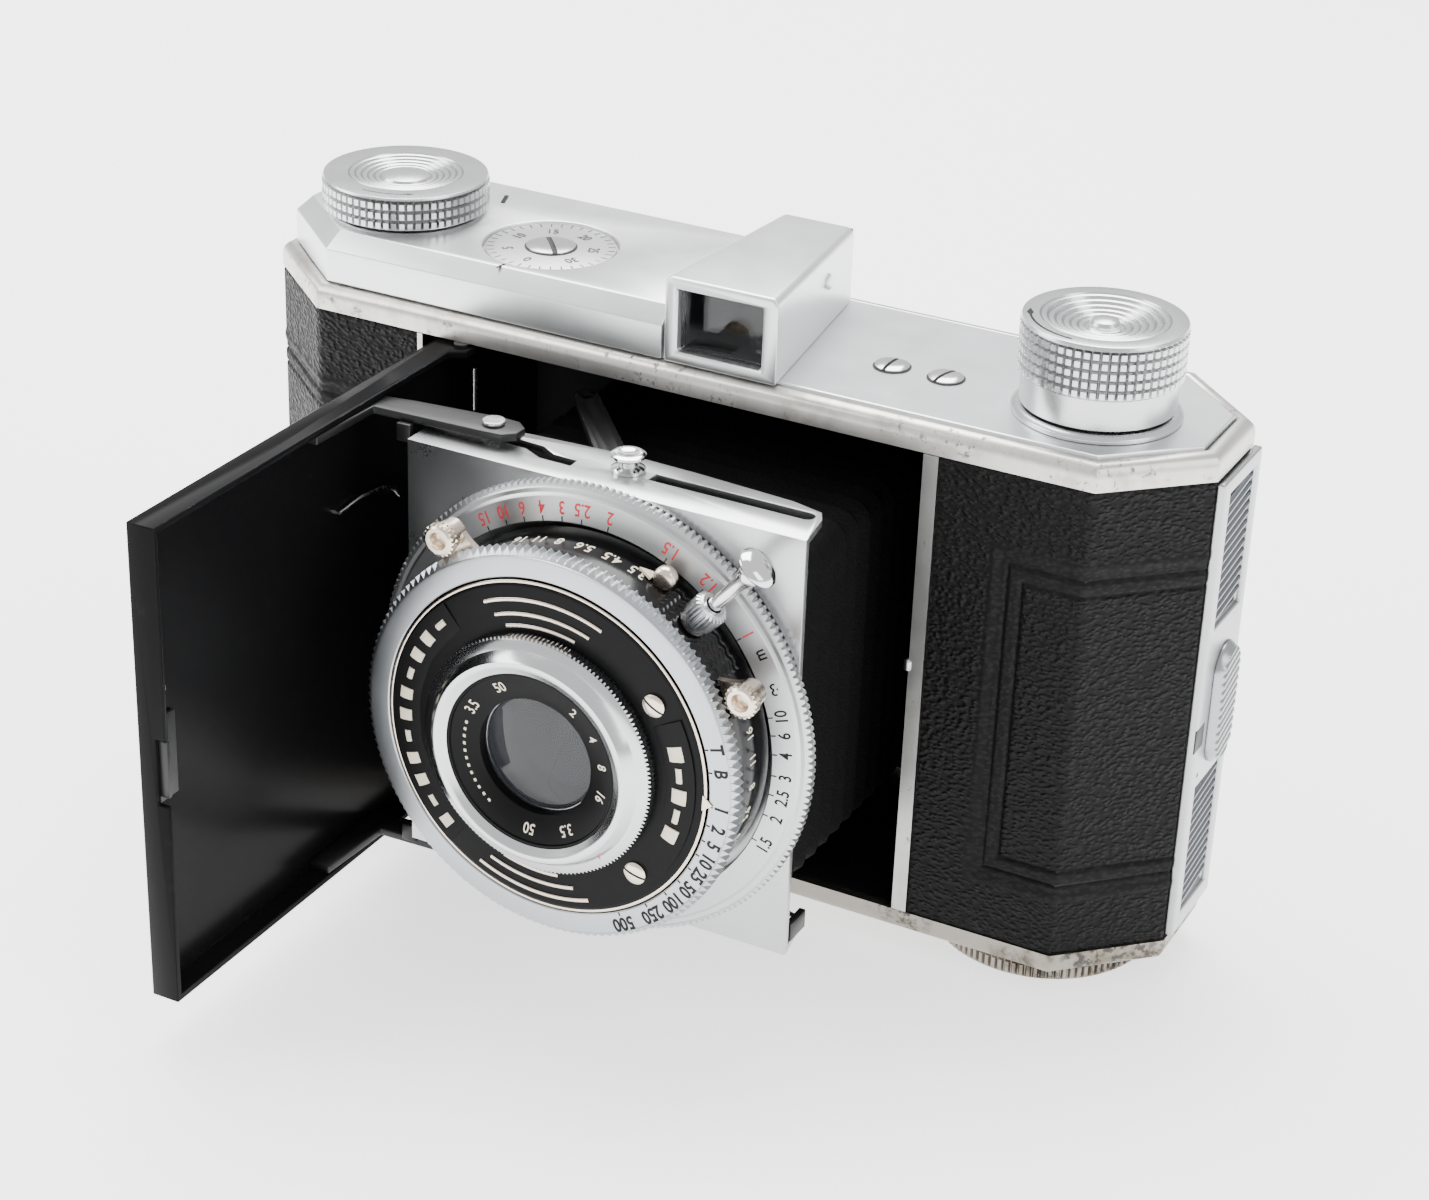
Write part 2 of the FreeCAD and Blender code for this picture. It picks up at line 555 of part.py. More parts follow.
for low, high in ((25.0, 27.0), (-25.0, -23.0)):
    board.cut("top", low, high, [slots[0]])
    board.cut("top", low, high, [slots[2]])
    board.cut("top", low, high, [curve])
    board.cut("top", low, high, [(0.0, -15.6, 0.95)])
tab = Piece("board_tab")
tab.pad("side", 23.2, 24.0, [box(-19.6, -15.9, -23.88, -21.6)])
stud_head = [
    (0.93, 26.12), (1.9, 26.12), (1.9, 26.7), (1.1, 26.9), (1.1, 27.5), (2.0, 27.7),
    (2.0, 28.1), (1.3, 28.4), (0.0, 28.2),
]
drop = VALUES["board_up"] - VALUES["board_down"]
studs = post("board_studs", 0.0, [(0.0, 22.75), (0.93, 22.75)] + stud_head, -15.6)
lower_stud = [(0.0, -22.75), (0.93, -22.75)] + [(radius, drop - height) for radius, height in stud_head]
studs.spin(lower_stud, plane="front")
reach = math.hypot(17.2, 20.8)
direction = math.degrees(math.atan2(20.8, -17.2))
strut = Piece("struts", direction, (0.0, -15.6, 0.0))
for low, high in ((22.8, 23.8), (-23.8, -22.8)):
    strut.pad("top", low, high, [[
        (-1.8, -1.2), (-0.8, -2.0), (reach, -1.4), (reach + 0.8, -0.6), (reach + 0.8, 0.6),
        (reach, 1.4), (-0.8, 2.0), (-1.8, 1.2),
    ]])
strut.cut("top", -30, 30, [(0, 0, 1.0)])
strut.cut("top", -30, 30, [(reach - 1.0, 0, 0.8)])
bellows = Piece("bellows")
fold = cell("bellows_half")
thick = cell("bellows_wall")
bellows.pad("front", -cell("gate_front") + 0.05, front_level - sheet_thick - 0.05, [
    box(-fold, fold, -fold + 0.6, fold - 0.6), box(-fold + thick, fold - thick, -fold + thick + 0.6, fold - thick - 0.6),
])

# ---------------------------------------------------------------- shutter and lens
lathe("focus_ring", [
    (cell("focus_bore"), cell("focus_back")), (cell("focus_radius"), cell("focus_back")),
    (cell("focus_radius"), cell("focus_front")), (cell("scale_radius"), cell("focus_front")),
    (cell("scale_radius") - 0.4, cell("scale_front")), (cell("focus_bore"), cell("scale_front")),
])
case = lathe("shutter_case", [
    (14.6, 19.2), (16.2, 19.2), (16.2, 21.4), (16.2, cell("drum_back")), (cell("drum_radius"), cell("drum_back")),
    (cell("drum_radius"), cell("drum_front")), (19.6, cell("drum_front")), (19.6, 32.0), (13.2, 32.0),
    (13.2, 28.0), (14.6, 28.0),
])
case.cut("side", 18.3, 23, [(-27.2, 0, 0.97)])
case.tilt = 49.0
lathe("speed_ring", [
    (cell("speed_bore"), cell("speed_back")), (cell("speed_radius"), cell("speed_back")),
    (cell("speed_radius"), cell("speed_front") - 0.8), (cell("speed_radius") - 0.8, cell("speed_front")),
    (cell("speed_bore"), cell("speed_front")),
])
lathe("face_plate", [
    (13.2, 32.01), (cell("face_radius"), 32.01), (cell("face_radius"), 32.6), (19.0, 32.9), (14.2, 33.2), (13.2, 33.2),
])
face_screws = Piece("face_screws")
for radius, angle in ((16.2, 35.0), (16.4, -45.0)):
    across = radius * math.cos(math.radians(angle))
    height = radius * math.sin(math.radians(angle))
    face_screws.pad("front", 33.18, 33.6, [(across, height, 1.3)])
lathe("lens_bezel", [
    (10.3, 30.0), (13.15, 30.0), (13.15, 33.25), (cell("bezel_radius"), 33.25), (cell("bezel_radius"), 34.9),
    (12.6, 35.3), (cell("bezel_lip"), cell("bezel_front")), (11.0, cell("bezel_front")), (10.3, 36.1),
    (10.3, 34.5), (6.8, 33.4), (6.8, 27.8), (10.3, 27.8),
])
lathe("name_ring", [
    (cell("glass_radius"), 33.6), (10.25, 34.6), (10.25, 36.0), (9.9, 36.0), (cell("glass_radius"), 34.9),
])


def lens(label, centre, radius, bulge_front, bulge_back, rim):
    """A round glass with two domed faces, drawn as short chords of each dome."""
    steps = 8
    points = []
    for k in range(steps + 1):
        r = radius * k / steps
        points.append((r, centre + rim + bulge_front * (1 - (r / radius) ** 2)))
    for k in range(steps, -1, -1):
        r = radius * k / steps
        points.append((r, centre - rim - bulge_back * (1 - (r / radius) ** 2)))
    return lathe(label, points)


lens("front_element", 33.2, 6.7, 1.2, 0.3, 0.9)
lens("rear_element", 19.8, 6.7, 0.4, 0.8, 0.7)
lathe("rear_cell", [(6.8, 18.6), (14.5, 18.6), (14.5, 20.6), (12.8, 26.0), (11.0, 26.0), (6.8, 21.6)])
lathe("shutter_blades", [(0.0, 26.9), (11.9, 26.9), (11.9, 27.2), (0.0, 27.2)])
lathe("iris_blades", [(4.8, 26.2), (12.7, 26.2), (12.7, 26.5), (4.8, 26.5)])

# ---------------------------------------------------------------- levers around the shutter


def lever(label, back_level, front_level_, angle, reach, wide):
    """A thin ring that turns on the drum, with an arm pointing out at an angle from the right."""
    piece = Piece(label, 0.0)
    piece.tilt = angle
    piece.pad("front", back_level, front_level_, [(0, 0, cell("lever_rim")), (0, 0, cell("lever_bore"))])
    piece.pad("front", back_level, front_level_, [box(22.0, reach, -wide / 2, wide / 2)])
    return piece


cock = lever("cocking_lever", 29.5, 30.3, 122.0, 25.1, 3.0)
cock.pad("front", 29.5, 32.9, [(25.15, 0, 1.9)])
cock.cut("front", 31.4, 33, [(25.15, 0, 1.0)])
release = lever("release_lever", 28.4, 29.2, 27.0, 25.1, 3.0)
release.pad("front", 28.4, 31.6, [(25.2, 0, 1.9)])
release.cut("front", 30.2, 32, [(25.2, 0, 1.0)])
pointer = lever("aperture_pointer", 25.0, 25.8, 63.0, 24.0, 1.6)
pointer.pad("front", 25.0, 26.4, [(23.6, 0, 0.9)])
holder = Piece("cable_socket")
holder.tilt = 49.0
holder.pad("side", 21.72, 22.6, [(0, 0, 1.15), (0, 0, 0.97)])
holder.pad("side", 22.6, 25.6, [(0, 0, 2.0), (0, 0, 0.97)])
holder.at = Vector(0, -27.2, 0)
plunger = Piece("release_plunger")
plunger.tilt = 49.0
plunger.at = Vector(0, -27.2, 0)
plunger.pad("side", 21.9, 32.0, [(0, 0, cell("plunger_radius"))])
plunger.pad("side", 31.5, 32.6, [(0, 0, 1.7)])
plunger.pad("side", 32.6, cell("plunger_reach"), [(0, 0, 2.4)])
plunger.dress("Fillet", 0.7, lambda p, e: abs(p.x - 34.0) < 0.02)

# ---------------------------------------------------------------- placing, checking, writing
doc.recompute()
for piece in nodes.values():
    tilt = getattr(piece, "tilt", None)
    turn = FreeCAD.Rotation(Vector(0, 0, 1), piece.turn)
    if tilt is not None:
        turn = FreeCAD.Rotation(Vector(0, -1, 0), tilt)
    piece.body.Placement = FreeCAD.Placement(piece.at + SHIFT, turn)
doc.recompute()
for thing in doc.Objects:
    if "Invalid" in thing.State or "Error" in thing.State:
        raise RuntimeError("failed: " + thing.Name)
os.makedirs("parts", exist_ok=True)
for label, piece in nodes.items():
    shape = piece.body.Shape
    if shape.isNull() or not shape.isValid() or shape.Volume <= 0:
        raise RuntimeError("bad shape: " + label)
    shape.exportStep("parts/" + label + ".step")
    print(label, len(shape.Solids), round(shape.Volume, 1))
print(len(nodes), "pieces")
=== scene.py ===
import bpy
import bmesh
import math
from mathutils import Matrix, Vector


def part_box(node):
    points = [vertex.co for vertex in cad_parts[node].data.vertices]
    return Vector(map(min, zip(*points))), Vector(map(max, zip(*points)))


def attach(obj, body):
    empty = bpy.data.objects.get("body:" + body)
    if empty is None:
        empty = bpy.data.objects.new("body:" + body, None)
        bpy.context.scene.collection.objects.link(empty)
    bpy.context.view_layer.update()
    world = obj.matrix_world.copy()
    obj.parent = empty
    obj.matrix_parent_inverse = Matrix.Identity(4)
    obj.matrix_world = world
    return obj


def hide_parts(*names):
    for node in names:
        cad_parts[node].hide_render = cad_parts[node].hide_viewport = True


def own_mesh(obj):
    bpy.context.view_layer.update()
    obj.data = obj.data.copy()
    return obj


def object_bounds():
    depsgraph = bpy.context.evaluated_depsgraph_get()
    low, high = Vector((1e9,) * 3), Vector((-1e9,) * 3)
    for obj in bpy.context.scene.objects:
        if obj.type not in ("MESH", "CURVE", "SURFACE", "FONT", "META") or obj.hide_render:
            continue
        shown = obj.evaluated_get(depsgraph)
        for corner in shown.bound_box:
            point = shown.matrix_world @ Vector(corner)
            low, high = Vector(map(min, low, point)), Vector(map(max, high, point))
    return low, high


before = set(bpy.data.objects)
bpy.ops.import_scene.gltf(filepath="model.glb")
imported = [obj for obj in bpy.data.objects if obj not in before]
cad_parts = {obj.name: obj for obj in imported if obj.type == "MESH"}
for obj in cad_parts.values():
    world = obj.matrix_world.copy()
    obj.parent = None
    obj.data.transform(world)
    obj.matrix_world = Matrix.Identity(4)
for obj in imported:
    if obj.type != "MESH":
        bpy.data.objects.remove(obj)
cad_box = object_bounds()

# ------------------------------------------------------------------ chrome lid, base and housings
# The lid, base and housings are pressed brass, ground and satin chromed. Years of handling have
# rubbed their edges bright and left small dark specks in the plating, most of all on the rims.
ring_low, ring_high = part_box("speed_ring")
LENS_X = (ring_low[0] + ring_high[0]) / 2
LENS_Z = (ring_low[2] + ring_high[2]) / 2
FACE_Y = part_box("leather_front_right")[0][1]
MM = 0.001
deps = bpy.context.evaluated_depsgraph_get


def spot(x, y, z):
    """A place in metres, from millimetres beside, behind and above the lens axis at the front face."""
    return Vector((LENS_X + x * MM, FACE_Y + y * MM, LENS_Z + z * MM))


class Wire:
    """One output of a node; the operators add Math nodes."""

    def __init__(self, finish, socket):
        self.finish = finish
        self.socket = socket

    def sum(self, kind, first, second):
        return self.finish.node("ShaderNodeMath", {"operation": kind}, {0: first, 1: second})

    def __add__(self, other):
        return self.sum("ADD", self, other)

    def __radd__(self, other):
        return self.sum("ADD", other, self)

    def __sub__(self, other):
        return self.sum("SUBTRACT", self, other)

    def __rsub__(self, other):
        return self.sum("SUBTRACT", other, self)

    def __mul__(self, other):
        return self.sum("MULTIPLY", self, other)

    def __rmul__(self, other):
        return self.sum("MULTIPLY", other, self)

    def __gt__(self, other):
        return self.sum("GREATER_THAN", self, other)

    def clamp(self, low, high):
        """0 at low, 1 at high, smooth between."""
        settings = {"interpolation_type": "SMOOTHSTEP"}
        values = {"Value": self, "From Min": low, "From Max": high}
        return self.finish.node("ShaderNodeMapRange", settings, values)


class Finish:
    """A finish on a surface: one material and the nodes that vary it."""

    def __init__(self, name, base, rough, metal=0.0, **constants):
        self.material = bpy.data.materials.new(name)
        self.material.use_nodes = True
        self.tree = self.material.node_tree
        self.shader = self.tree.nodes["Principled BSDF"]
        self.put("Base Color", (*base, 1.0))
        self.put("Roughness", rough)
        self.put("Metallic", metal)
        for key, value in constants.items():
            self.put(key.replace("_", " ").title().replace("Ior", "IOR"), value)
        where = self.tree.nodes.new("ShaderNodeTexCoord")
        self.here = Wire(self, where.outputs["Object"])

    def put(self, name, value):
        if isinstance(value, Wire):
            self.tree.links.new(value.socket, self.shader.inputs[name])
        else:
            self.shader.inputs[name].default_value = value

    def node(self, kind, settings, values, out=0):
        made = self.tree.nodes.new(kind)
        for key, value in settings.items():
            setattr(made, key, value)
        for key, value in values.items():
            socket = made.inputs[key]
            if isinstance(value, Wire):
                self.tree.links.new(value.socket, socket)
            else:
                socket.default_value = value
        return Wire(self, made.outputs[out])

    def noise(self, scale, detail=3.0, rough=0.55):
        values = {"Vector": self.here, "Scale": scale, "Detail": detail, "Roughness": rough}
        return self.node("ShaderNodeTexNoise", {}, values)

    def stretched(self, scales, scale, detail=2.0):
        longer = self.node("ShaderNodeVectorMath", {"operation": "MULTIPLY"}, {0: self.here, 1: scales})
        return self.node("ShaderNodeTexNoise", {}, {"Vector": longer, "Scale": scale, "Detail": detail})

    def cells(self, scale, vector=None, feature="F1"):
        values = {"Vector": vector or self.here, "Scale": scale}
        return self.node("ShaderNodeTexVoronoi", {"feature": feature}, values)

    def mix(self, factor, first, second):
        values = {0: factor, 6: (*first, 1.0) if isinstance(first, tuple) else first}
        values[7] = (*second, 1.0) if isinstance(second, tuple) else second
        return self.node("ShaderNodeMix", {"data_type": "RGBA"}, values, 2)

    def bump(self, height, distance, strength=1.0):
        values = {"Height": height, "Distance": distance, "Strength": strength}
        return self.node("ShaderNodeBump", {}, values)

    def edges(self, radius):
        """1 on a sharp edge within that radius, 0 on flat and hollow ground."""
        soft = self.node("ShaderNodeBevel", {"samples": 6}, {"Radius": radius})
        flat = self.tree.nodes.new("ShaderNodeNewGeometry")
        values = {0: soft, 1: Wire(self, flat.outputs["Normal"])}
        dot = self.node("ShaderNodeVectorMath", {"operation": "DOT_PRODUCT"}, values, 1)
        return (1.0 - dot).clamp(0.01, 0.12)


def chrome(name, base, rough, worn, grain=0.35):
    """Satin plate: a fine ground grain, clouded gloss, and specks and grime where it is worn."""
    finish = Finish(name, base, rough, 1.0)
    cloud = finish.noise(180.0, 4.0)
    fine = finish.noise(2600.0, 2.0)
    streak = finish.stretched((1.0, 1.0, 0.08), 2200.0)
    speck = finish.noise(900.0, 5.0, 0.7).clamp(0.645 - 0.09 * worn, 0.73 - 0.08 * worn)
    patch = finish.noise(110.0, 5.0, 0.6).clamp(0.46, 0.62)
    dirt = speck * patch * min(1.0, worn * worn * 2.5)
    dark = tuple(c * 0.30 for c in base)
    tint = finish.mix(cloud, tuple(c * 0.93 for c in base), base)
    grime = finish.noise(55.0, 6.0, 0.65).clamp(0.44, 0.66)
    grime = grime * finish.noise(420.0, 4.0).clamp(0.35, 0.65) * (0.7 * worn)
    stained = (base[0] * 0.62, base[1] * 0.57, base[2] * 0.50)
    finish.put("Base Color", finish.mix(dirt, finish.mix(grime, tint, stained), dark))
    finish.put("Roughness", rough - 0.06 + cloud * 0.10 + fine * 0.05 + dirt * 0.25)
    height = fine * 0.5 + streak * 0.5
    finish.put("Normal", finish.bump(height, 0.000012, grain))
    return finish


satin = chrome("satin_chrome", (0.80, 0.82, 0.84), 0.32, 0.12)
housing_satin = chrome("housing_satin_chrome", (0.84, 0.855, 0.865), 0.34, 0.10)
rim_satin = chrome("worn_rim_chrome", (0.66, 0.65, 0.62), 0.34, 1.1)
base_satin = chrome("worn_base_chrome", (0.35, 0.325, 0.29), 0.38, 2.0)


def as_piece(name, mesh, finish, body, replaced=(), smooth=35.0):
    """A finished piece at the origin, its place in its mesh, riding on a body."""
    mesh.name = name
    made = bpy.data.objects.new(name, mesh)
    bpy.context.scene.collection.objects.link(made)
    if finish is not None:
        mesh.materials.clear()
        mesh.materials.append(finish.material)
    mesh.shade_smooth()
    mesh.set_sharp_from_angle(angle=math.radians(smooth))
    if replaced:
        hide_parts(*replaced)
    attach(made, body)
    return made


def settled(holder):
    """The holder's mesh with its modifiers applied, as a plain mesh."""
    bpy.context.view_layer.update()
    mesh = bpy.data.meshes.new_from_object(holder.evaluated_get(deps()))
    bpy.data.objects.remove(holder)
    return mesh


def softened(node, finish, body, width, segments=3, angle=20.0, label=None):
    """The CAD piece again with its edges rounded over, as grinding and plating leave them."""
    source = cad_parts[node]
    work = bmesh.new()
    work.from_mesh(source.data)
    bmesh.ops.remove_doubles(work, verts=work.verts, dist=2e-6)
    bmesh.ops.dissolve_limit(work, angle_limit=math.radians(1.0), verts=work.verts, edges=work.edges)
    mesh = bpy.data.meshes.new(node + "_work")
    work.to_mesh(mesh)
    work.free()
    holder = bpy.data.objects.new(node + "_work", mesh)
    bpy.context.scene.collection.objects.link(holder)
    modifier = holder.modifiers.new("edge", "BEVEL")
    modifier.width = width * MM
    modifier.segments = segments
    modifier.limit_method = "ANGLE"
    modifier.angle_limit = math.radians(angle)
    modifier.harden_normals = False
    return as_piece(label or node + "_ground", settled(holder), finish, body, (node,), 40.0)


softened("wind_housing", housing_satin, "camera_body", 0.22)
softened("finder_housing", housing_satin, "camera_body", 0.55, 4)


def inward(outline, inset):
    """The outline moved inward by the inset, with its corners kept mitred."""
    moved = []
    count = len(outline)
    lines = []
    for k in range(count):
        a, b = Vector(outline[k]), Vector(outline[(k + 1) % count])
        along = (b - a).normalized()
        lines.append((a + Vector((-along.y, along.x)) * inset, along))
    for k in range(count):
        (p, d), (q, e) = lines[k - 1], lines[k]
        cross = d.x * e.y - d.y * e.x
        t = ((q.x - p.x) * e.y - (q.y - p.y) * e.x) / cross
        moved.append((p.x + d.x * t, p.y + d.y * t))
    return moved


def closed(work, name):
    """The drawn faces as a mesh, all turned outward."""
    bmesh.ops.recalc_face_normals(work, faces=work.faces)
    mesh = bpy.data.meshes.new(name)
    work.to_mesh(mesh)
    work.free()
    return mesh


def rolled(label, outline, profile, finish, replaced):
    """A pan whose rolled rim is one outline drawn at several insets and heights."""
    work = bmesh.new()
    rings = [[work.verts.new(spot(x, y, z)) for x, y in inward(outline, inset)] for inset, z in profile]
    for a, b in zip(rings, rings[1:]):
        for k in range(len(a)):
            n = (k + 1) % len(a)
            work.faces.new((a[k], a[n], b[n], b[k]))
    work.faces.new(list(reversed(rings[0])))
    work.faces.new(rings[-1])
    return as_piece(label, closed(work, label), finish, "camera_body", replaced, 28.0)


plan = [
    (-50.85, 0.0), (47.35, 0.0), (57.5, 9.85), (57.5, 21.4), (47.35, 31.3), (-50.85, 31.3), (-62.5, 21.4),
    (-62.5, 9.85)
]
rolled("lid_rolled_rim", plan, [
    (2.6, 28.83), (0.0, 28.83), (0.0, 30.25), (0.09, 30.8), (0.33, 31.3), (0.72, 31.68), (1.2, 31.87),
    (1.62, 31.86),
    (1.86, 31.72), (1.98, 31.4), (2.5, 31.4),
], rim_satin, ("top_plate",))
rolled("lid_flat", plan, [(2.2, 31.3), (2.2, 31.9), (2.26, 32.02), (2.38, 32.09)], satin, ())
# One dark finish for the lid's seam line and for the painted shade in the screw slots and round the screw
# heads.
seam_and_slot_shade = Finish("dark_seam_and_slot_shade", (0.03, 0.03, 0.03), 0.7)
seam_and_slot_shade.put("Roughness", 0.6 + seam_and_slot_shade.noise(900.0) * 0.2)
rolled("lid_seam", plan, [(1.9, 31.2), (1.9, 31.52), (2.3, 31.52), (2.3, 31.2)], seam_and_slot_shade, ())
rolled("base_rolled_rim", plan, [
    (2.6, -29.03), (0.0, -29.03), (0.0, -30.2), (0.12, -30.8), (0.42, -31.35), (0.9, -31.75), (1.6, -31.95),
    (2.4, -32.0),
], base_satin, ("bottom_plate",))

# ------------------------------------------------------------------ knobs
# The wind and rewind knobs are turned from brass bar: a square-cut knurl round the rim, a dish of
# fine rings in the top, and satin chrome all over. The knurl's crests are polished by fingers.


def lathe(profile, centre, axis="up", segments=128):
    """A closed outline turned about an upright axis or the lens axis: (radius, height or reach)."""
    work = bmesh.new()
    rings = []
    for radius, level in profile:
        ring = []
        for k in range(segments if radius > 1e-6 else 1):
            turn = math.tau * k / segments
            across, along = radius * math.cos(turn), radius * math.sin(turn)
            if axis == "up":
                place = spot(centre[0] + across, centre[1] + along, level)
            else:
                place = spot(centre[0] + across, -level, centre[1] + along)
            ring.append(work.verts.new(place))
        rings.append(ring)
    for first, second in zip(rings, rings[1:] + rings[:1]):
        if len(first) == 1 and len(second) == 1:
            continue
        for k in range(segments):
            n = (k + 1) % segments
            if len(first) == 1:
                work.faces.new((first[0], second[n], second[k]))
            elif len(second) == 1:
                work.faces.new((first[k], first[n], second[0]))
            else:
                work.faces.new((first[k], first[n], second[n], second[k]))
    return closed(work, "turned")


def six_sides(work, corners):
    """The sides of a block, from four corners below and four above."""
    for quad in ((0, 1, 2, 3), (4, 5, 6, 7), (0, 1, 5, 4), (1, 2, 6, 5), (2, 3, 7, 6), (3, 0, 4, 7)):
        work.faces.new([corners[k] for k in quad])


def tooth(foot, crest, axis="up"):
    """One knurl tooth: foot and crest are (radius, low, high, half angle in degrees)."""
    work = bmesh.new()
    corners = []
    for radius, low, high, half in (foot, crest):
        for level, side in ((low, -1), (low, 1), (high, 1), (high, -1)):
            turn = math.radians(half * side)
            across, along = radius * math.cos(turn), radius * math.sin(turn)
            place = (across, along, level) if axis == "up" else (across, -level, along)
            corners.append(work.verts.new(Vector(place) * MM))
    six_sides(work, corners)
    return closed(work, "tooth")


def repeat_tree():
    """Repeats a small piece round an axis through a centre."""
    tree = bpy.data.node_groups.new("repeat_around", "GeometryNodeTree")
    face = tree.interface
    face.new_socket("Piece", in_out="INPUT", socket_type="NodeSocketGeometry")
    face.new_socket("Count", in_out="INPUT", socket_type="NodeSocketInt")
    face.new_socket("Centre", in_out="INPUT", socket_type="NodeSocketVector")
    face.new_socket("Axis", in_out="INPUT", socket_type="NodeSocketVector")
    face.new_socket("Step", in_out="INPUT", socket_type="NodeSocketFloat")
    face.new_socket("Finish", in_out="INPUT", socket_type="NodeSocketMaterial")
    face.new_socket("Ring", in_out="OUTPUT", socket_type="NodeSocketGeometry")
    add = tree.nodes.new
    given, result = add("NodeGroupInput"), add("NodeGroupOutput")
    points, index = add("GeometryNodePoints"), add("GeometryNodeInputIndex")
    turned = add("GeometryNodeInstanceOnPoints")
    angle, spin = add("ShaderNodeMath"), add("FunctionNodeAxisAngleToRotation")
    angle.operation = "MULTIPLY"
    real, coat = add("GeometryNodeRealizeInstances"), add("GeometryNodeSetMaterial")
    link = tree.links.new
    link(given.outputs["Count"], points.inputs["Count"])
    link(given.outputs["Centre"], points.inputs["Position"])
    link(points.outputs[0], turned.inputs["Points"])
    link(given.outputs["Piece"], turned.inputs["Instance"])
    link(index.outputs[0], angle.inputs[0])
    link(given.outputs["Step"], angle.inputs[1])
    link(angle.outputs[0], spin.inputs["Angle"])
    link(given.outputs["Axis"], spin.inputs["Axis"])
    link(spin.outputs[0], turned.inputs["Rotation"])
    link(turned.outputs[0], real.inputs[0])
    link(real.outputs[0], coat.inputs["Geometry"])
    link(given.outputs["Finish"], coat.inputs["Material"])
    link(coat.outputs[0], result.inputs[0])
    return tree


REPEAT = repeat_tree()


def around(mesh, count, centre, axis, finish, step=None):
    """Repeats a tooth round an axis with the geometry nodes above; the tooth is drawn about 0."""
    holder = bpy.data.objects.new("repeat_work", mesh)
    bpy.context.scene.collection.objects.link(holder)
    modifier = holder.modifiers.new("repeat", "NODES")
    modifier.node_group = REPEAT
    values = {"Count": count, "Centre": tuple(centre), "Axis": axis, "Finish": finish.material}
    values["Step"] = step if step is not None else math.tau / count
    for item in REPEAT.interface.items_tree:
        if item.in_out == "INPUT" and item.name in values:
            modifier[item.identifier] = values[item.name]
    return settled(holder)


def joined(*meshes):
    work = bmesh.new()
    for mesh in meshes:
        work.from_mesh(mesh)
    whole = bpy.data.meshes.new("joined")
    work.to_mesh(whole)
    work.free()
    return whole


def dished(edge, inner, top, deep, rings, middle):
    """The dish in a knob's top: rounded rings between cut grooves, falling to a middle disc."""
    wide = (edge - inner) / rings
    points = [(edge + 0.12, top)]
    for k in range(rings):
        radius = edge - wide * k
        level = top - deep * math.sin(math.pi / 2 * (k + 0.3) / rings)
        points += [
            (radius, level - 0.20), (radius - wide * 0.2, level), (radius - wide * 0.5, level + 0.06),
            (radius - wide * 0.8, level - 0.02)
        ]
    return points + [(inner, top - deep - 0.2)] + middle


knob_finish = chrome("knob_satin_chrome", (0.64, 0.65, 0.66), 0.25, 0.22)
knurl_finish = chrome("knob_knurl_chrome", (0.66, 0.67, 0.675), 0.20, 0.2)
# This darker copy of the knob chrome paints the shade in the grooves under the knurl and in the top rings.
groove_shade_chrome = chrome("painted_groove_shade_chrome", (0.20, 0.205, 0.21), 0.42, 0.6)
wind_x, knob_y = -46.96, 13.55
wind_core = lathe([
    (0.0, 38.16), (8.9, 38.16), (9.28, 38.4), (9.28, 42.02), (9.7, 42.08), (9.86, 42.25), (9.74, 42.46),
    (9.6, 42.5),
] + dished(6.75, 3.0, 42.5, 0.55, 5, [(2.9, 41.95), (2.75, 42.15), (2.0, 42.36), (1.0, 42.46), (0.0, 42.48)]),
(wind_x, knob_y))


def grooves(label, edge, inner, top, deep, rings, centre, body):
    """Dark lines at the bottom of the cut rings: painted shade in the grooves."""
    lines = []
    wide = (edge - inner) / rings
    for k in range(rings):
        radius = edge - wide * k
        level = top - deep * math.sin(math.pi / 2 * (k + 0.3) / rings)
        lines.append(
            lathe([(radius - 0.09, level - 0.12), (radius + 0.10, level - 0.07), (radius + 0.10, level - 0.17),
            (radius - 0.09, level - 0.2)], centre, "up", 96)
        )
    return as_piece(label, joined(*lines), groove_shade_chrome, body)


grooves("wind_knob_rings", 6.75, 3.0, 42.5, 0.55, 5, (wind_x, knob_y), "winder")
as_piece("wind_knob_turned", wind_core, knob_finish, "winder", ("wind_knob",), 24.0)
# A dark band behind the knurl teeth: painted shade between the teeth.
groove_band = lathe([(9.0, 38.5), (9.33, 38.5), (9.33, 41.98), (9.0, 41.98)], (wind_x, knob_y))
as_piece("wind_knob_grooves", groove_band, groove_shade_chrome, "winder")
wind_rows = []
for row in range(3):
    low = 38.5 + row * 1.17
    foot = (9.3, low + 0.05, low + 1.12, 2.55)
    crest = (9.95, low + 0.24, low + 0.93, 1.66)
    wind_rows.append(around(tooth(foot, crest), 66, spot(wind_x, knob_y, 0), (0, 0, 1), knurl_finish))
as_piece("wind_knob_knurl", joined(*wind_rows), knurl_finish, "winder", (), 24.0)

rewind_x = 41.9
rewind_core = lathe([
    (0.0, 33.21), (8.4, 33.21), (8.6, 33.4), (8.6, 36.75), (8.45, 36.9), (8.45, 42.45), (8.95, 42.5),
    (9.08, 42.75), (8.95, 43.05), (8.8, 43.1),
] + dished(7.0, 2.1, 43.1, 1.15, 6,
[(1.95, 41.75), (1.8, 41.85), (1.74, 42.35), (1.45, 42.72), (0.8, 42.92), (0.0, 42.97)]), (rewind_x, knob_y))
grooves("rewind_knob_rings", 7.0, 2.1, 43.1, 1.15, 6, (rewind_x, knob_y), "rewinder")
as_piece("rewind_knob_turned", rewind_core, knob_finish, "rewinder", ("rewind_knob",), 24.0)
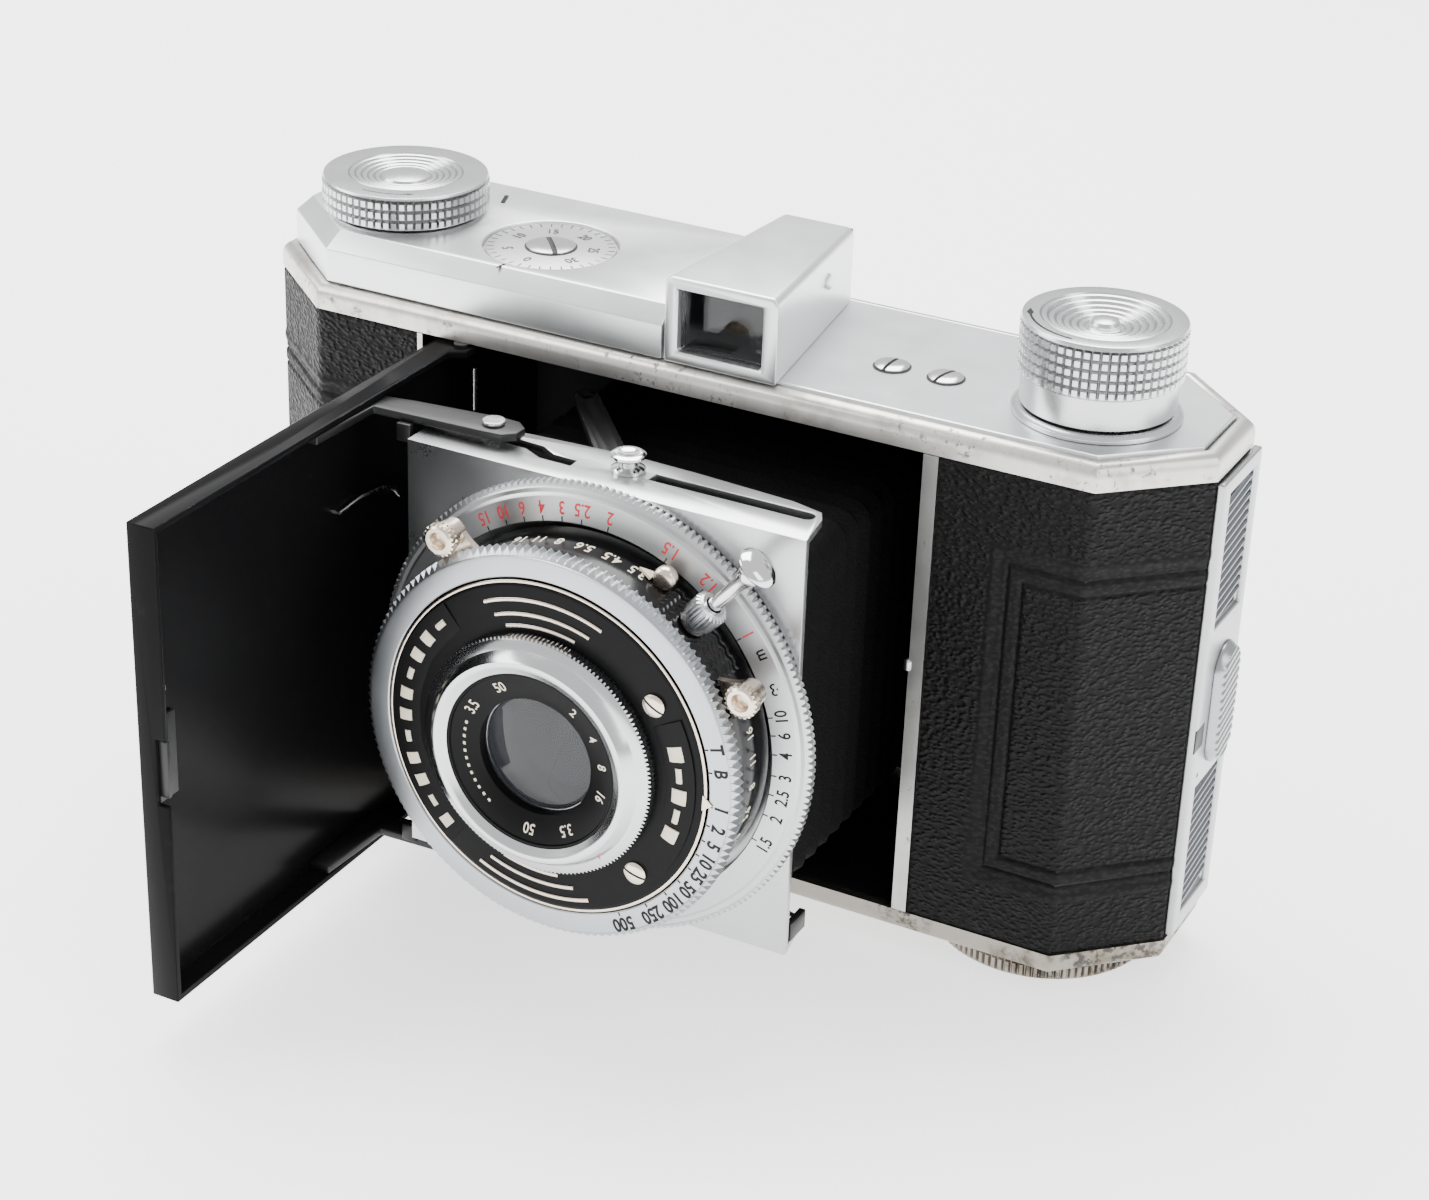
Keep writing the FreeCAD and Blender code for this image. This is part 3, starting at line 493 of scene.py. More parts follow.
# A dark band behind the knurl teeth: painted shade between the teeth.
groove_band = lathe([(8.3, 36.95), (8.5, 36.95), (8.5, 42.4), (8.3, 42.4)], (rewind_x, knob_y))
as_piece("rewind_knob_grooves", groove_band, groove_shade_chrome, "rewinder")
rewind_rows = []
for row in range(5):
    low = 36.93 + row * 1.11
    foot = (8.48, low + 0.05, low + 1.06, 2.92)
    crest = (9.12, low + 0.22, low + 0.88, 1.9)
    rewind_rows.append(around(tooth(foot, crest), 58, spot(rewind_x, knob_y, 0), (0, 0, 1), knurl_finish))
as_piece("rewind_knob_knurl", joined(*rewind_rows), knurl_finish, "rewinder", (), 24.0)
softened("rewind_collar", knob_finish, "camera_body", 0.12, 2)

# The tripod disc and the foot carry an upright knurl all round.
tripod_at = (40.9, 14.6)
disc_teeth = around(
    tooth((12.55, -34.3, -32.3, 1.75), (12.98, -34.0, -32.6, 0.85)), 96, spot(*tripod_at, 0), (0, 0, 1),
    knurl_finish
)
disc = lathe(
    [(3.18, -34.5), (12.2, -34.5), (12.6, -34.3), (12.6, -32.03), (4.34, -32.03), (4.34, -29.22),
    (3.18, -29.22)], tripod_at
)
as_piece("tripod_disc_turned", joined(disc, disc_teeth), base_satin, "camera_body", ("tripod_socket",), 24.0)
foot_teeth = around(
    tooth((8.6, -34.3, -32.3, 2.4), (8.98, -34.0, -32.6, 1.2)), 68, spot(wind_x, knob_y, 0), (0, 0, 1),
    knurl_finish
)
foot = lathe([(0.0, -34.5), (8.3, -34.5), (8.65, -34.3), (8.65, -32.03), (0.0, -32.03)], (wind_x, knob_y))
as_piece("foot_turned", joined(foot, foot_teeth), base_satin, "camera_body", ("base_foot",), 24.0)

# ------------------------------------------------------------------ exposure counter and screws
# The counter is a satin disc with stamped, ink-filled divisions, held by a slotted screw. Figures
# all over the camera are stamped or painted, so they stand a hair above or fill a shallow cut.
ink = Finish("black_ink", (0.008, 0.008, 0.009), 0.5, specular_ior_level=0.2)
ink.put("Roughness", 0.42 + ink.noise(900.0) * 0.2)
grey_ink = Finish("faded_ink", (0.045, 0.045, 0.048), 0.55)
grey_ink.put("Roughness", 0.45 + grey_ink.noise(900.0) * 0.2)
red_ink = Finish("red_ink", (0.62, 0.025, 0.03), 0.5)
red_ink.put("Base Color", red_ink.mix(red_ink.noise(1200.0), (0.50, 0.02, 0.025), (0.72, 0.04, 0.045)))
cream = Finish("cream_paint", (0.80, 0.72, 0.56), 0.42)
cream.put("Base Color", cream.mix(cream.noise(1400.0), (0.70, 0.62, 0.47), (0.86, 0.80, 0.66)))


def figures(label, words, place, size, finish, body, thick=0.03, bold=0.0):
    """Figures set one by one: words are (text, angle), place turns (x, y, angle, lift) to a spot."""
    parts = []
    for text, angle in words:
        curve = bpy.data.curves.new("figure", "FONT")
        curve.body = text
        curve.size = size
        curve.align_x = "CENTER"
        curve.align_y = "CENTER"
        curve.extrude = thick
        curve.offset = bold
        curve.resolution_u = 3
        holder = bpy.data.objects.new("figure", curve)
        bpy.context.scene.collection.objects.link(holder)
        mesh = settled(holder)
        work = bmesh.new()
        work.from_mesh(mesh)
        bmesh.ops.remove_doubles(work, verts=work.verts, dist=1e-4)
        for vert in work.verts:
            vert.co = place(vert.co.x * 0.84, vert.co.y, angle, vert.co.z)
        parts.append(closed(work, "figure"))
    made = as_piece(label, joined(*parts), finish, body, (), 30.0)
    return made


def dial_place(radius, centre, level):
    """Figures on a flat dial that faces up, with their tops outward."""
    def place(x, y, angle, lift):
        turn = math.radians(angle)
        out = (math.cos(turn), math.sin(turn))
        side = (math.sin(turn), -math.cos(turn))
        across = centre[0] + out[0] * (radius + y) + side[0] * x
        along = centre[1] + out[1] * (radius + y) + side[1] * x
        return spot(across, along, level + lift)
    return place


def bars(label, count, size, radius, centre, level, start, step, finish, body, face="up"):
    """Short bars in a ring: size is (along the radius, across it, thickness)."""
    work = bmesh.new()
    bmesh.ops.create_cube(work, size=1.0)
    for vert in work.verts:
        grown = (vert.co.x * size[0] + radius, vert.co.y * size[1], vert.co.z * size[2])
        turn = math.radians(start)
        across = grown[0] * math.cos(turn) - grown[1] * math.sin(turn)
        along = grown[0] * math.sin(turn) + grown[1] * math.cos(turn)
        place = (across, along, grown[2]) if face == "up" else (across, -grown[2], along)
        vert.co = Vector(place) * MM
    mesh = closed(work, "bar")
    middle = spot(centre[0], centre[1], level) if face == "up" else spot(centre[0], -level, centre[1])
    axis = (0, 0, 1) if face == "up" else (0, -1, 0)
    done = around(mesh, count, middle, axis, finish, math.radians(step))
    return as_piece(label, done, finish, body, (), 30.0)


dial_finish = chrome("dial_satin", (0.66, 0.66, 0.655), 0.38, 0.05)
dial_at = (-26.0, 12.0)
softened("counter_dial", dial_finish, "counter", 0.08, 2)
bars("counter_ticks", 36, (0.85, 0.14, 0.03), 7.1, dial_at, 37.76, 0.0, 10.0, grey_ink, "counter")
numbers = [("0", -92.0), ("5", -142.0), ("10", 168.0), ("15", 118.0), ("20", 68.0), ("25", 18.0), ("30", -32.0)]
figures("counter_figures", numbers, dial_place(5.0, dial_at, 37.77), 1.85, grey_ink, "counter", 0.02, 0.02)
bars("counter_index", 1, (1.5, 0.34, 0.03), 9.25, dial_at, 38.01, -98.0, 10.0, ink, "camera_body")
bars("housing_mark", 1, (0.5, 2.6, 0.12), 0.0, (-38.6, 22.4), 38.03, 20.0, 10.0, ink, "camera_body")
screw_steel = chrome("screw_steel", (0.66, 0.665, 0.67), 0.20, 0.3)


def slotted(label, x, y, radius, low, high, slot_angle, finish, body, replaced=(), face="up"):
    """A domed screw head with a sawn slot, cut as two half heads over a sunk middle painted dark as shade."""
    half_slot = max(0.11, radius * 0.11)
    work = bmesh.new()
    steps, rings = 20, 4
    for sign in (1, -1):
        grid = []
        for ring in range(rings + 1):
            share = ring / rings
            level = high - (high - low) * 0.45 * share ** 2.2
            if ring == rings:
                level = high - (high - low) * 0.55
            row = []
            for k in range(steps + 1):
                turn = -math.pi / 2 + math.pi * k / steps
                across = max(radius * share * math.cos(turn), 0.0) + half_slot
                along = radius * share * math.sin(turn)
                wide = math.hypot(across, along)
                if wide > radius:
                    across, along = across * radius / wide, along * radius / wide
                row.append((sign * across, sign * along, level))
            grid.append(row)
        spin = math.radians(slot_angle)
        def put(point):
            across = point[0] * math.cos(spin) - point[1] * math.sin(spin)
            along = point[0] * math.sin(spin) + point[1] * math.cos(spin)
            if face == "up":
                return work.verts.new(spot(x + across, y + along, point[2]))
            return work.verts.new(spot(x + across, -point[2], y + along))
        tops = [[put(p) for p in row] for row in grid]
        feet = [put((p[0], p[1], low)) for p in grid[-1]]
        for ring in range(rings):
            for k in range(steps):
                work.faces.new((tops[ring][k], tops[ring][k + 1], tops[ring + 1][k + 1], tops[ring + 1][k]))
        for k in range(steps):
            work.faces.new((tops[-1][k], tops[-1][k + 1], feet[k + 1], feet[k]))
        side = [tops[r][0] for r in range(rings, 0, -1)] + [tops[0][0]] + [
            tops[r][-1] for r in range(1, rings + 1)
        ]
        work.faces.new(side + [feet[-1], feet[0]])
        work.faces.new(feet)
    bmesh.ops.remove_doubles(work, verts=work.verts, dist=1e-7)
    mesh = closed(work, "screw")
    # The sunk middle and, on upright screws, a thin ring round the head are dark: painted shade in the slot and
    # in the recess round the head.
    sunk = lathe(
        [(0.0, low), (radius * 0.97, low), (radius * 0.97, low + (high - low) * 0.3),
        (0.0, low + (high - low) * 0.3)], (x, y), "up" if face == "up" else "lens", 40
    )
    if face == "up":
        gap = lathe(
            [(radius, low), (radius + 0.2, low), (radius + 0.2, low + 0.04), (radius, low + 0.04)], (x, y),
            "up", 40
        )
        sunk = joined(sunk, gap)
    as_piece(label + "_slot", sunk, seam_and_slot_shade, body)
    return as_piece(label, mesh, finish, body, replaced, 30.0)


slotted("counter_screw_head", -26.0, 12.0, 2.9, 37.77, 38.3, 40.0, screw_steel, "counter", ("counter_screw",))
slotted("lid_screw_left", 17.65, 13.0, 2.0, 32.12, 32.7, -4.0, screw_steel, "camera_body", ("top_screws",))
slotted("lid_screw_right", 24.2, 13.1, 2.0, 32.12, 32.7, -15.0, screw_steel, "camera_body")


def arrow(label, centre, level, radius, start, end, wide, finish, body):
    """A curved arrow engraved and inked round a knob's top."""
    work = bmesh.new()
    steps = 16
    rows = []
    for k in range(steps + 1):
        turn = math.radians(start + (end - start) * k / steps)
        share = k / steps
        half = wide / 2 if share < 0.86 else wide * 1.6 * (1 - share) / 0.14
        quad = []
        for r, lift in (
            (radius - half, 0.0), (radius + half, 0.0), (radius + half, 0.03), (radius - half, 0.03)
        ):
            quad.append(
                work.verts.new(spot(centre[0] + r * math.cos(turn), centre[1] + r * math.sin(turn),
                level + lift))
            )
        rows.append(quad)
    for a, b in zip(rows, rows[1:]):
        for k in range(4):
            work.faces.new((a[k], a[(k + 1) % 4], b[(k + 1) % 4], b[k]))
    work.faces.new(rows[0])
    work.faces.new(list(reversed(rows[-1])))
    bmesh.ops.remove_doubles(work, verts=work.verts, dist=1e-7)
    return as_piece(label, closed(work, "arrow"), finish, body)


arrow("rewind_arrow", (rewind_x, knob_y), 43.09, 8.1, -95.0, -165.0, 0.28, ink, "rewinder")
arrow("wind_arrow", (wind_x, knob_y), 42.48, 8.2, -95.0, -50.0, 0.22, grey_ink, "winder")

# ------------------------------------------------------------------ covering
# The body is covered in black pebbled leatherette, pressed with a mitred frame on each end and
# glued down between the rims. Its grain is deep and its high spots are a little polished.
covering = Finish("black_covering", (0.004, 0.0039, 0.0038), 0.5, specular_ior_level=0.13)
warp = covering.node("ShaderNodeTexNoise", {}, {"Vector": covering.here, "Scale": 520.0, "Detail": 2.0}, 1)
bent = covering.node("ShaderNodeMix", {"data_type": "VECTOR"}, {0: 0.0006, 4: covering.here, 5: warp}, 1)
wide = covering.node("ShaderNodeVectorMath", {"operation": "MULTIPLY"}, {0: bent, 1: (1.0, 1.0, 1.5)})
pebble = covering.cells(1500.0, wide, "SMOOTH_F1")
small = covering.cells(3600.0, bent)
crease = covering.noise(900.0, 4.0, 0.6)
smooth_band = covering.node("ShaderNodeAttribute", {"attribute_name": "pressed"}, {}, 2)
ground = pebble.clamp(0.1, 0.62)
height = ((1.0 - ground) * 0.8 + (1.0 - small) * 0.10 + crease * 0.3) * (1.0 - smooth_band * 0.82)
covering.put("Normal", covering.bump(height, 0.00030, 1.0))
# The grain's gaps are painted a little darker than its high spots: painted shade in the grain. The smoother
# high spots are polish.
covering.put("Base Color", covering.mix(ground, (0.0046, 0.0045, 0.0044), (0.0026, 0.0026, 0.0026)))
covering.put("Roughness", 0.40 + ground * 0.2 + smooth_band * 0.06)


def covered(label, path, low, high, press, body, replaced, thick=0.34, step=0.2, side=1):
    """A skin over a bent path (x, y): press(run, z) is how far it is pressed in or raised."""
    lengths = [0.0]
    for a, b in zip(path, path[1:]):
        lengths.append(lengths[-1] + math.hypot(b[0] - a[0], b[1] - a[1]))
    total = lengths[-1]
    across = max(2, int(total / step))
    tall = max(2, int((high - low) / step))

    def along(run):
        for k in range(len(path) - 1):
            if run <= lengths[k + 1] or k == len(path) - 2:
                share = (run - lengths[k]) / (lengths[k + 1] - lengths[k])
                x = path[k][0] + (path[k + 1][0] - path[k][0]) * share
                y = path[k][1] + (path[k + 1][1] - path[k][1]) * share
                return x, y

    def normal(run):
        a, b = along(max(run - 0.5, 0.0)), along(min(run + 0.5, total))
        dx, dy = b[0] - a[0], b[1] - a[1]
        size = math.hypot(dx, dy)
        return side * dy / size, -side * dx / size

    work = bmesh.new()
    flat = work.verts.layers.float.new("pressed")
    outer, inner = [], []
    for i in range(across + 1):
        run = total * i / across
        x, y = along(run)
        nx, ny = normal(run)
        column, behind = [], []
        for j in range(tall + 1):
            z = low + (high - low) * j / tall
            rim = min(run, total - run, z - low, high - z)
            lift, band = press(run, z)
            lift -= 0.12 * max(0.0, 1 - rim / 0.4) + 0.02
            column.append(work.verts.new(spot(x + nx * lift, y + ny * lift, z)))
            column[-1][flat] = band
            edge = j in (0, tall) or i in (0, across)
            behind.append(work.verts.new(spot(x - nx * thick, y - ny * thick, z)) if edge else None)
        outer.append(column)
        inner.append(behind)
    for i in range(across):
        for j in range(tall):
            work.faces.new((outer[i][j], outer[i + 1][j], outer[i + 1][j + 1], outer[i][j + 1]))
    for i in range(across):
        work.faces.new((outer[i][0], inner[i][0], inner[i + 1][0], outer[i + 1][0]))
        work.faces.new((outer[i][tall], outer[i + 1][tall], inner[i + 1][tall], inner[i][tall]))
    for j in range(tall):
        work.faces.new((outer[0][j], outer[0][j + 1], inner[0][j + 1], inner[0][j]))
        work.faces.new((outer[across][j], inner[across][j], inner[across][j + 1], outer[across][j + 1]))
    loop = [inner[i][0] for i in range(across + 1)] + [inner[across][j] for j in range(1, tall + 1)]
    loop += [inner[i][tall] for i in range(across - 1, -1, -1)] + [inner[0][j] for j in range(tall - 1, 0, -1)]
    bmesh.ops.triangle_fill(work, edges=[e for e in work.edges if e.is_boundary], use_beauty=True)
    return as_piece(label, closed(work, label), covering, body, replaced, 50.0)


def moulding(inset):
    """The pressed moulding at a distance inside its outer line: how far it lifts, how smooth it is."""
    lift = 0.16 * max(0.0, 1.0 - abs(inset) / 0.75)
    for line in (1.75, 3.5):
        lift -= 0.27 * max(0.0, 1.0 - abs(inset - line) / 0.32)
    if 0.75 < inset < 1.75:
        lift -= 0.05
    if 1.75 < inset < 3.5:
        lift += 0.05
    band = min(max((inset + 0.9) / 0.5, 0.0), 1.0) * min(max((4.0 - inset) / 0.5, 0.0), 1.0)
    return lift, band


right_path = [(29.5, 0.0), (46.6, 0.0), (47.0, 0.08), (47.4, 0.28), (47.7, 0.55), (57.42, 9.85)]
skin_low, skin_high = -28.9, 28.7
covered("covering_right", right_path, skin_low, skin_high,
    lambda run, z: moulding(min(run - 7.1, 19.9 - z, z + 21.6)), "camera_body", ("leather_front_right",))
left_path = [
    (-36.9, 0.0), (-50.1, 0.0), (-50.5, 0.08), (-50.9, 0.28), (-51.3, 0.55), (-62.1, 9.5), (-62.36, 9.9),
    (-62.48, 10.3), (-62.48, 19.8)
]
covered("covering_left", left_path, skin_low, skin_high,
    lambda run, z: moulding(min(run - 4.5, 19.9 - z, z + 21.6)), "camera_body", ("leather_front_left",),
    side=-1)
back_path = [(46.9, 31.3), (-50.4, 31.3)]
covered("covering_back", back_path, -27.9, 27.7,
    lambda run, z: moulding(min(run - 7.0, 90.3 - run, z + 21.0, 20.6 - z)),
    "back_door", ("leather_back",), 0.28, 0.3)
door_low, door_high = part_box("door_leather")
door_from, door_to = (door_low[1] - FACE_Y) / MM, (door_high[1] - FACE_Y) / MM
bottom, top = (door_low[2] - LENS_Z) / MM, (door_high[2] - LENS_Z) / MM
door_wide = door_to - door_from
door_path = [(-34.58, door_to), (-34.58, door_from)]
covered("covering_door", door_path, bottom, top,
    lambda run, z: moulding(min(run - 5.0, door_wide - 5.0 - run, z - bottom - 7.0, top - 7.0 - z)),
    "front_door", ("door_leather",), 0.2, 0.25)

# ------------------------------------------------------------------ end plate, latch and hinge
# A bright plate closes the hinged back's end, with ribbed recesses above and below a sliding latch whose
# face is milled with slanting grooves. Black sheets on the recess floors and black blocks for a notch and a
# hole are painted shade, and the ribs' darkened chrome is painted shade in the recesses.
plate_finish = chrome("end_plate_chrome", (0.46, 0.47, 0.48), 0.30, 0.35)
latch_finish = chrome("latch_chrome", (0.36, 0.37, 0.38), 0.26, 0.3)
work = bmesh.new()
ys = [10.3, 11.4, 12.6, 21.0, 21.8, 22.6]
zs = [-28.6, -27.4, -26.5, -10.0, 10.0, 26.5, 27.4, 28.4]


def plate_level(i, j):
    return 57.5 if i == 2 and j in (2, 4) else 58.24


knots = {}


def knot(level, i, j):
    key = (level, i, j)
    if key not in knots:
        knots[key] = work.verts.new(spot(level, ys[i], zs[j]))
    return knots[key]


for i in range(5):
    for j in range(7):
        level = plate_level(i, j)
        work.faces.new([knot(level, a, b) for a, b in ((i, j), (i + 1, j), (i + 1, j + 1), (i, j + 1))])
        work.faces.new([knot(57.14, a, b) for a, b in ((i, j), (i, j + 1), (i + 1, j + 1), (i + 1, j))])
        for (di, dj), (a, b) in (
            ((-1, 0), ((i, j), (i, j + 1))), ((1, 0), ((i + 1, j + 1), (i + 1, j))),
            ((0, -1), ((i + 1, j), (i, j))), ((0, 1), ((i, j + 1), (i + 1, j + 1)))
        ):
            inside = 0 <= i + di < 5 and 0 <= j + dj < 7
            other = plate_level(i + di, j + dj) if inside else 57.14
            if other < level:
                work.faces.new([knot(level, *a), knot(level, *b), knot(other, *b), knot(other, *a)])
mesh = closed(work, "end_plate_work")
holder = bpy.data.objects.new("end_plate_work", mesh)
bpy.context.scene.collection.objects.link(holder)
edge = holder.modifiers.new("edge", "BEVEL")
edge.width = 0.28 * MM
edge.segments = 3
edge.limit_method = "ANGLE"
edge.angle_limit = math.radians(30.0)
as_piece("end_plate_ground", settled(holder), plate_finish, "back_door", ("back_end_plate",), 40.0)


def slanted(label, count, x, y_from, y_to, z_low, z_high, wide, deep, finish, body, slant=2.0):
    """Slanting ribs on an upright end face, each a half-round bar."""
    work = bmesh.new()
    for k in range(count):
        z = z_low + (z_high - z_low) * (k + 0.5) / count
        rows = []
        for y, rise in ((y_from, 0.0), (y_to, slant)):
            ring = []
            for a in range(6):
                turn = math.pi * a / 5
                ring.append(
                    work.verts.new(spot(x + deep * math.sin(turn), y, z + rise + wide / 2 * math.cos(turn)))
                )
            rows.append(ring)
        for a in range(6):
            work.faces.new((rows[0][a], rows[0][(a + 1) % 6], rows[1][(a + 1) % 6], rows[1][a]))
        work.faces.new(rows[0])
        work.faces.new(list(reversed(rows[1])))
    return as_piece(label, closed(work, label), finish, body, (), 30.0)


# Black for the recess floors, the plate notch and the plate hole: painted shade where these hollows fall dark.
recess_shade_black = Finish("recess_painted_shade_black", (0.010, 0.011, 0.013), 0.35, specular_ior_level=0.3)
recess_shade_black.put("Roughness", 0.3 + recess_shade_black.noise(500.0) * 0.15)
# The ribs take a darkened copy of the plate chrome: painted shade in the recesses.
rib_shade_chrome = chrome("recess_rib_shade_chrome", (0.21, 0.22, 0.24), 0.28, 0.4)
for label, low, high in (("up", 10.1, 26.4), ("down", -26.4, -10.1)):
    work = bmesh.new()
    bmesh.ops.create_cube(work, size=1.0)
    for vert in work.verts:
        vert.co = spot(
            57.53 + vert.co.x * 0.05, 16.8 + vert.co.y * 8.3, (low + high) / 2 + vert.co.z * (high - low)
        )
    mesh = bpy.data.meshes.new("floor")
    work.to_mesh(mesh)
    work.free()
    as_piece("recess_floor_" + label, mesh, recess_shade_black, "back_door")
    slanted(
        "recess_ribs_" + label, 13, 57.54, 12.75, 20.85, low + 0.2, high - 1.2, 0.62, 0.5, rib_shade_chrome,
        "back_door", 0.9
    )

# The latch is a long oval button, domed and cut across with fine slanting ridges.
work = bmesh.new()
tall, wide_steps = 220, 30
middle_y, half_wide, low_end, high_end = 17.55, 3.25, -8.5, 6.5
rows = []
for j in range(tall + 1):
    z = low_end + (high_end - low_end) * (0.5 - 0.5 * math.cos(math.pi * j / tall))
    past = max(low_end + half_wide - z, z - (high_end - half_wide), 0.0)
    half = math.sqrt(max(half_wide ** 2 - past ** 2, 0.0))
    row = []
    for i in range(wide_steps + 1):
        y = middle_y + half * (2.0 * i / wide_steps - 1.0)
        rim = half_wide - math.hypot(y - middle_y, past)
        level = 59.38 - 0.9 * max(0.0, 1.0 - rim / 0.9) ** 2
        if rim > 0.55:
            level += 0.32 * abs(math.sin((z - (y - middle_y) * 0.25) * math.pi / 1.05)) ** 0.7 - 0.2
        row.append(work.verts.new(spot(level, y, z)))
    rows.append(row)
seat = spot(58.28, 0, 0).x
back = [[work.verts.new(Vector((seat, vert.co.y, vert.co.z))) for vert in (row[0], row[-1])] for row in rows]
for j in range(tall):
    for i in range(wide_steps):
        work.faces.new((rows[j][i], rows[j][i + 1], rows[j + 1][i + 1], rows[j + 1][i]))
    work.faces.new((rows[j][0], rows[j + 1][0], back[j + 1][0], back[j][0]))
    work.faces.new((rows[j][-1], back[j][1], back[j + 1][1], rows[j + 1][-1]))
    work.faces.new((back[j][0], back[j + 1][0], back[j + 1][1], back[j][1]))
bmesh.ops.remove_doubles(work, verts=work.verts, dist=1e-6)
bmesh.ops.holes_fill(work, edges=[e for e in work.edges if e.is_boundary], sides=0)
as_piece("latch_ridged", closed(work, "latch_ridged"), latch_finish, "latch", ("latch_slide",), 40.0)


def block(label, low, high, finish, body, rounded=0.1):
    """A small block between two corners, with its edges rounded."""
    work = bmesh.new()
    bmesh.ops.create_cube(work, size=1.0)
    for vert in work.verts:
        vert.co = spot(*[(a + b) / 2 + v * (b - a) for a, b, v in zip(low, high, vert.co)])
    if rounded:
        bmesh.ops.bevel(work, geom=work.edges, offset=rounded * MM, segments=2, affect="EDGES", profile=0.5)
    return as_piece(label, closed(work, label), finish, body, (), 30.0)


# The notch and the hole are black blocks on the plate: painted shade for a cut and a drilled hole.
block("plate_notch", (57.9, 10.35, -4.6), (58.27, 13.1, -1.6), recess_shade_black, "back_door")
block("plate_hole", (58.1, 12.35, -8.6), (58.26, 12.95, -8.0), recess_shade_black, "back_door", 0.07)

# ------------------------------------------------------------------ front door
# The door is a thin pressed steel pan, stoved with gloss black enamel that has chipped to grey
# metal along its lips. Its arms, catch and bracket are blackened steel with bright rivets.
enamel = Finish("black_enamel", (0.005, 0.005, 0.0055), 0.24, specular_ior_level=0.04)
wear = enamel.edges(0.00016)
chip = enamel.noise(520.0, 5.0, 0.7).clamp(0.53, 0.66)
scuff = enamel.noise(420.0, 5.0, 0.7).clamp(0.56, 0.8)
worn = wear * chip
enamel.put(
    "Base Color", enamel.mix(worn, enamel.mix(scuff, (0.0055, 0.0055, 0.006), (0.009, 0.009, 0.0095)),
    (0.24, 0.23, 0.21))
)
enamel.put("Metallic", worn * 0.6)
enamel.put("Roughness", 0.22 + scuff * 0.07 + worn * 0.2)
enamel.put("Normal", enamel.bump(enamel.noise(1600.0, 2.0), 0.000006, 0.5))
softened("front_door_pan", enamel, "front_door", 0.22, 2)
arm_black = Finish("blackened_steel", (0.009, 0.009, 0.0095), 0.34, specular_ior_level=0.4)
rub = arm_black.edges(0.00012) * arm_black.noise(700.0, 4.0).clamp(0.5, 0.66)
arm_black.put("Base Color", arm_black.mix(rub, (0.009, 0.009, 0.0095), (0.26, 0.25, 0.23)))
arm_black.put("Metallic", rub * 0.6)
arm_black.put("Roughness", 0.28 + arm_black.noise(300.0) * 0.16)
softened("door_arms", arm_black, "front_door", 0.14, 2)
pin_ends = ((27.75, 28.8), (-29.0, -27.95))
pins = [lathe([(0.0, a), (0.88, a), (0.88, b), (0.0, b)], (-30.75, -0.05), "up", 32) for a, b in pin_ends]
as_piece("door_hinge_pins_turned", joined(*pins), arm_black, "camera_body", ("door_hinge_pins",), 40.0)
softened("door_catch", arm_black, "front_door", 0.1, 2)
softened("struts", arm_black, "strut_links", 0.12, 2)
softened("board_tab", arm_black, "standard", 0.1, 2)
rivet_steel = chrome("rivet_steel", (0.58, 0.575, 0.565), 0.26, 0.4)
softened("door_rivets", rivet_steel, "front_door", 0.2, 3)

# ------------------------------------------------------------------ lens board and studs
# The lens board is bent from bright chromed sheet: a square front with its top and bottom folded
# back, slotted for the door arms. The studs that lock it open are turned and polished.
board_finish = chrome("board_satin_chrome", (0.58, 0.59, 0.60), 0.28, 0.1, 0.1)
softened("lens_board", board_finish, "standard", 0.25, 3)
stud_finish = chrome("polished_stud", (0.74, 0.745, 0.75), 0.11, 0.1, 0.1)


def wire(label, points, radius, finish, body):
    """A round wire through points, as a closed tube."""
    curve = bpy.data.curves.new(label, "CURVE")
    curve.dimensions = "3D"
    line = curve.splines.new("BEZIER")
    line.bezier_points.add(len(points) - 1)
    for knot, point in zip(line.bezier_points, points):
        knot.co = spot(*point)
        knot.handle_left_type = knot.handle_right_type = "AUTO"
    curve.bevel_depth = radius * MM
    curve.bevel_resolution = 3
    curve.use_fill_caps = True
    holder = bpy.data.objects.new(label, curve)
    bpy.context.scene.collection.objects.link(holder)
    return as_piece(label, settled(holder), finish, body, (), 40.0)


wire(
    "door_spring", [(-33.5, -21.5, 15.0), (-33.45, -16.0, 15.2), (-33.45, -11.0, 14.0), (-33.3, -9.6, 12.6)],
    0.22, rivet_steel, "front_door"
)
wire(
    "hinge_spring", [(-29.6, 0.9, 25.6), (-29.6, 0.9, 23.0), (-29.6, 0.9, 20.4)], 0.32, rivet_steel,
    "camera_body"
)
upper_stud = lathe([
    (0.0, 22.76), (0.92, 22.76), (0.92, 26.13), (1.9, 26.13), (1.9, 26.45), (1.6, 26.62), (1.05, 26.75),
    (0.95, 27.2),
    (1.2, 27.5), (1.85, 27.68), (2.0, 27.85), (1.95, 28.1), (1.6, 28.3), (1.1, 28.28), (0.8, 28.12),
    (0.0, 28.1),
], (0.0, -15.6), "up", 64)
lower_stud = lathe([
    (0.0, -22.76), (0.92, -22.76), (0.92, -24.73), (1.9, -24.73), (1.9, -25.05), (1.6, -25.22), (1.05, -25.35),
    (0.95, -25.8), (1.2, -26.1), (1.85, -26.28), (2.0, -26.45), (1.95, -26.7), (1.6, -26.9), (0.0, -26.8),
], (0.0, -15.6), "up", 64)
as_piece("board_studs_turned", joined(upper_stud, lower_stud), stud_finish, "standard", ("board_studs",), 40.0)

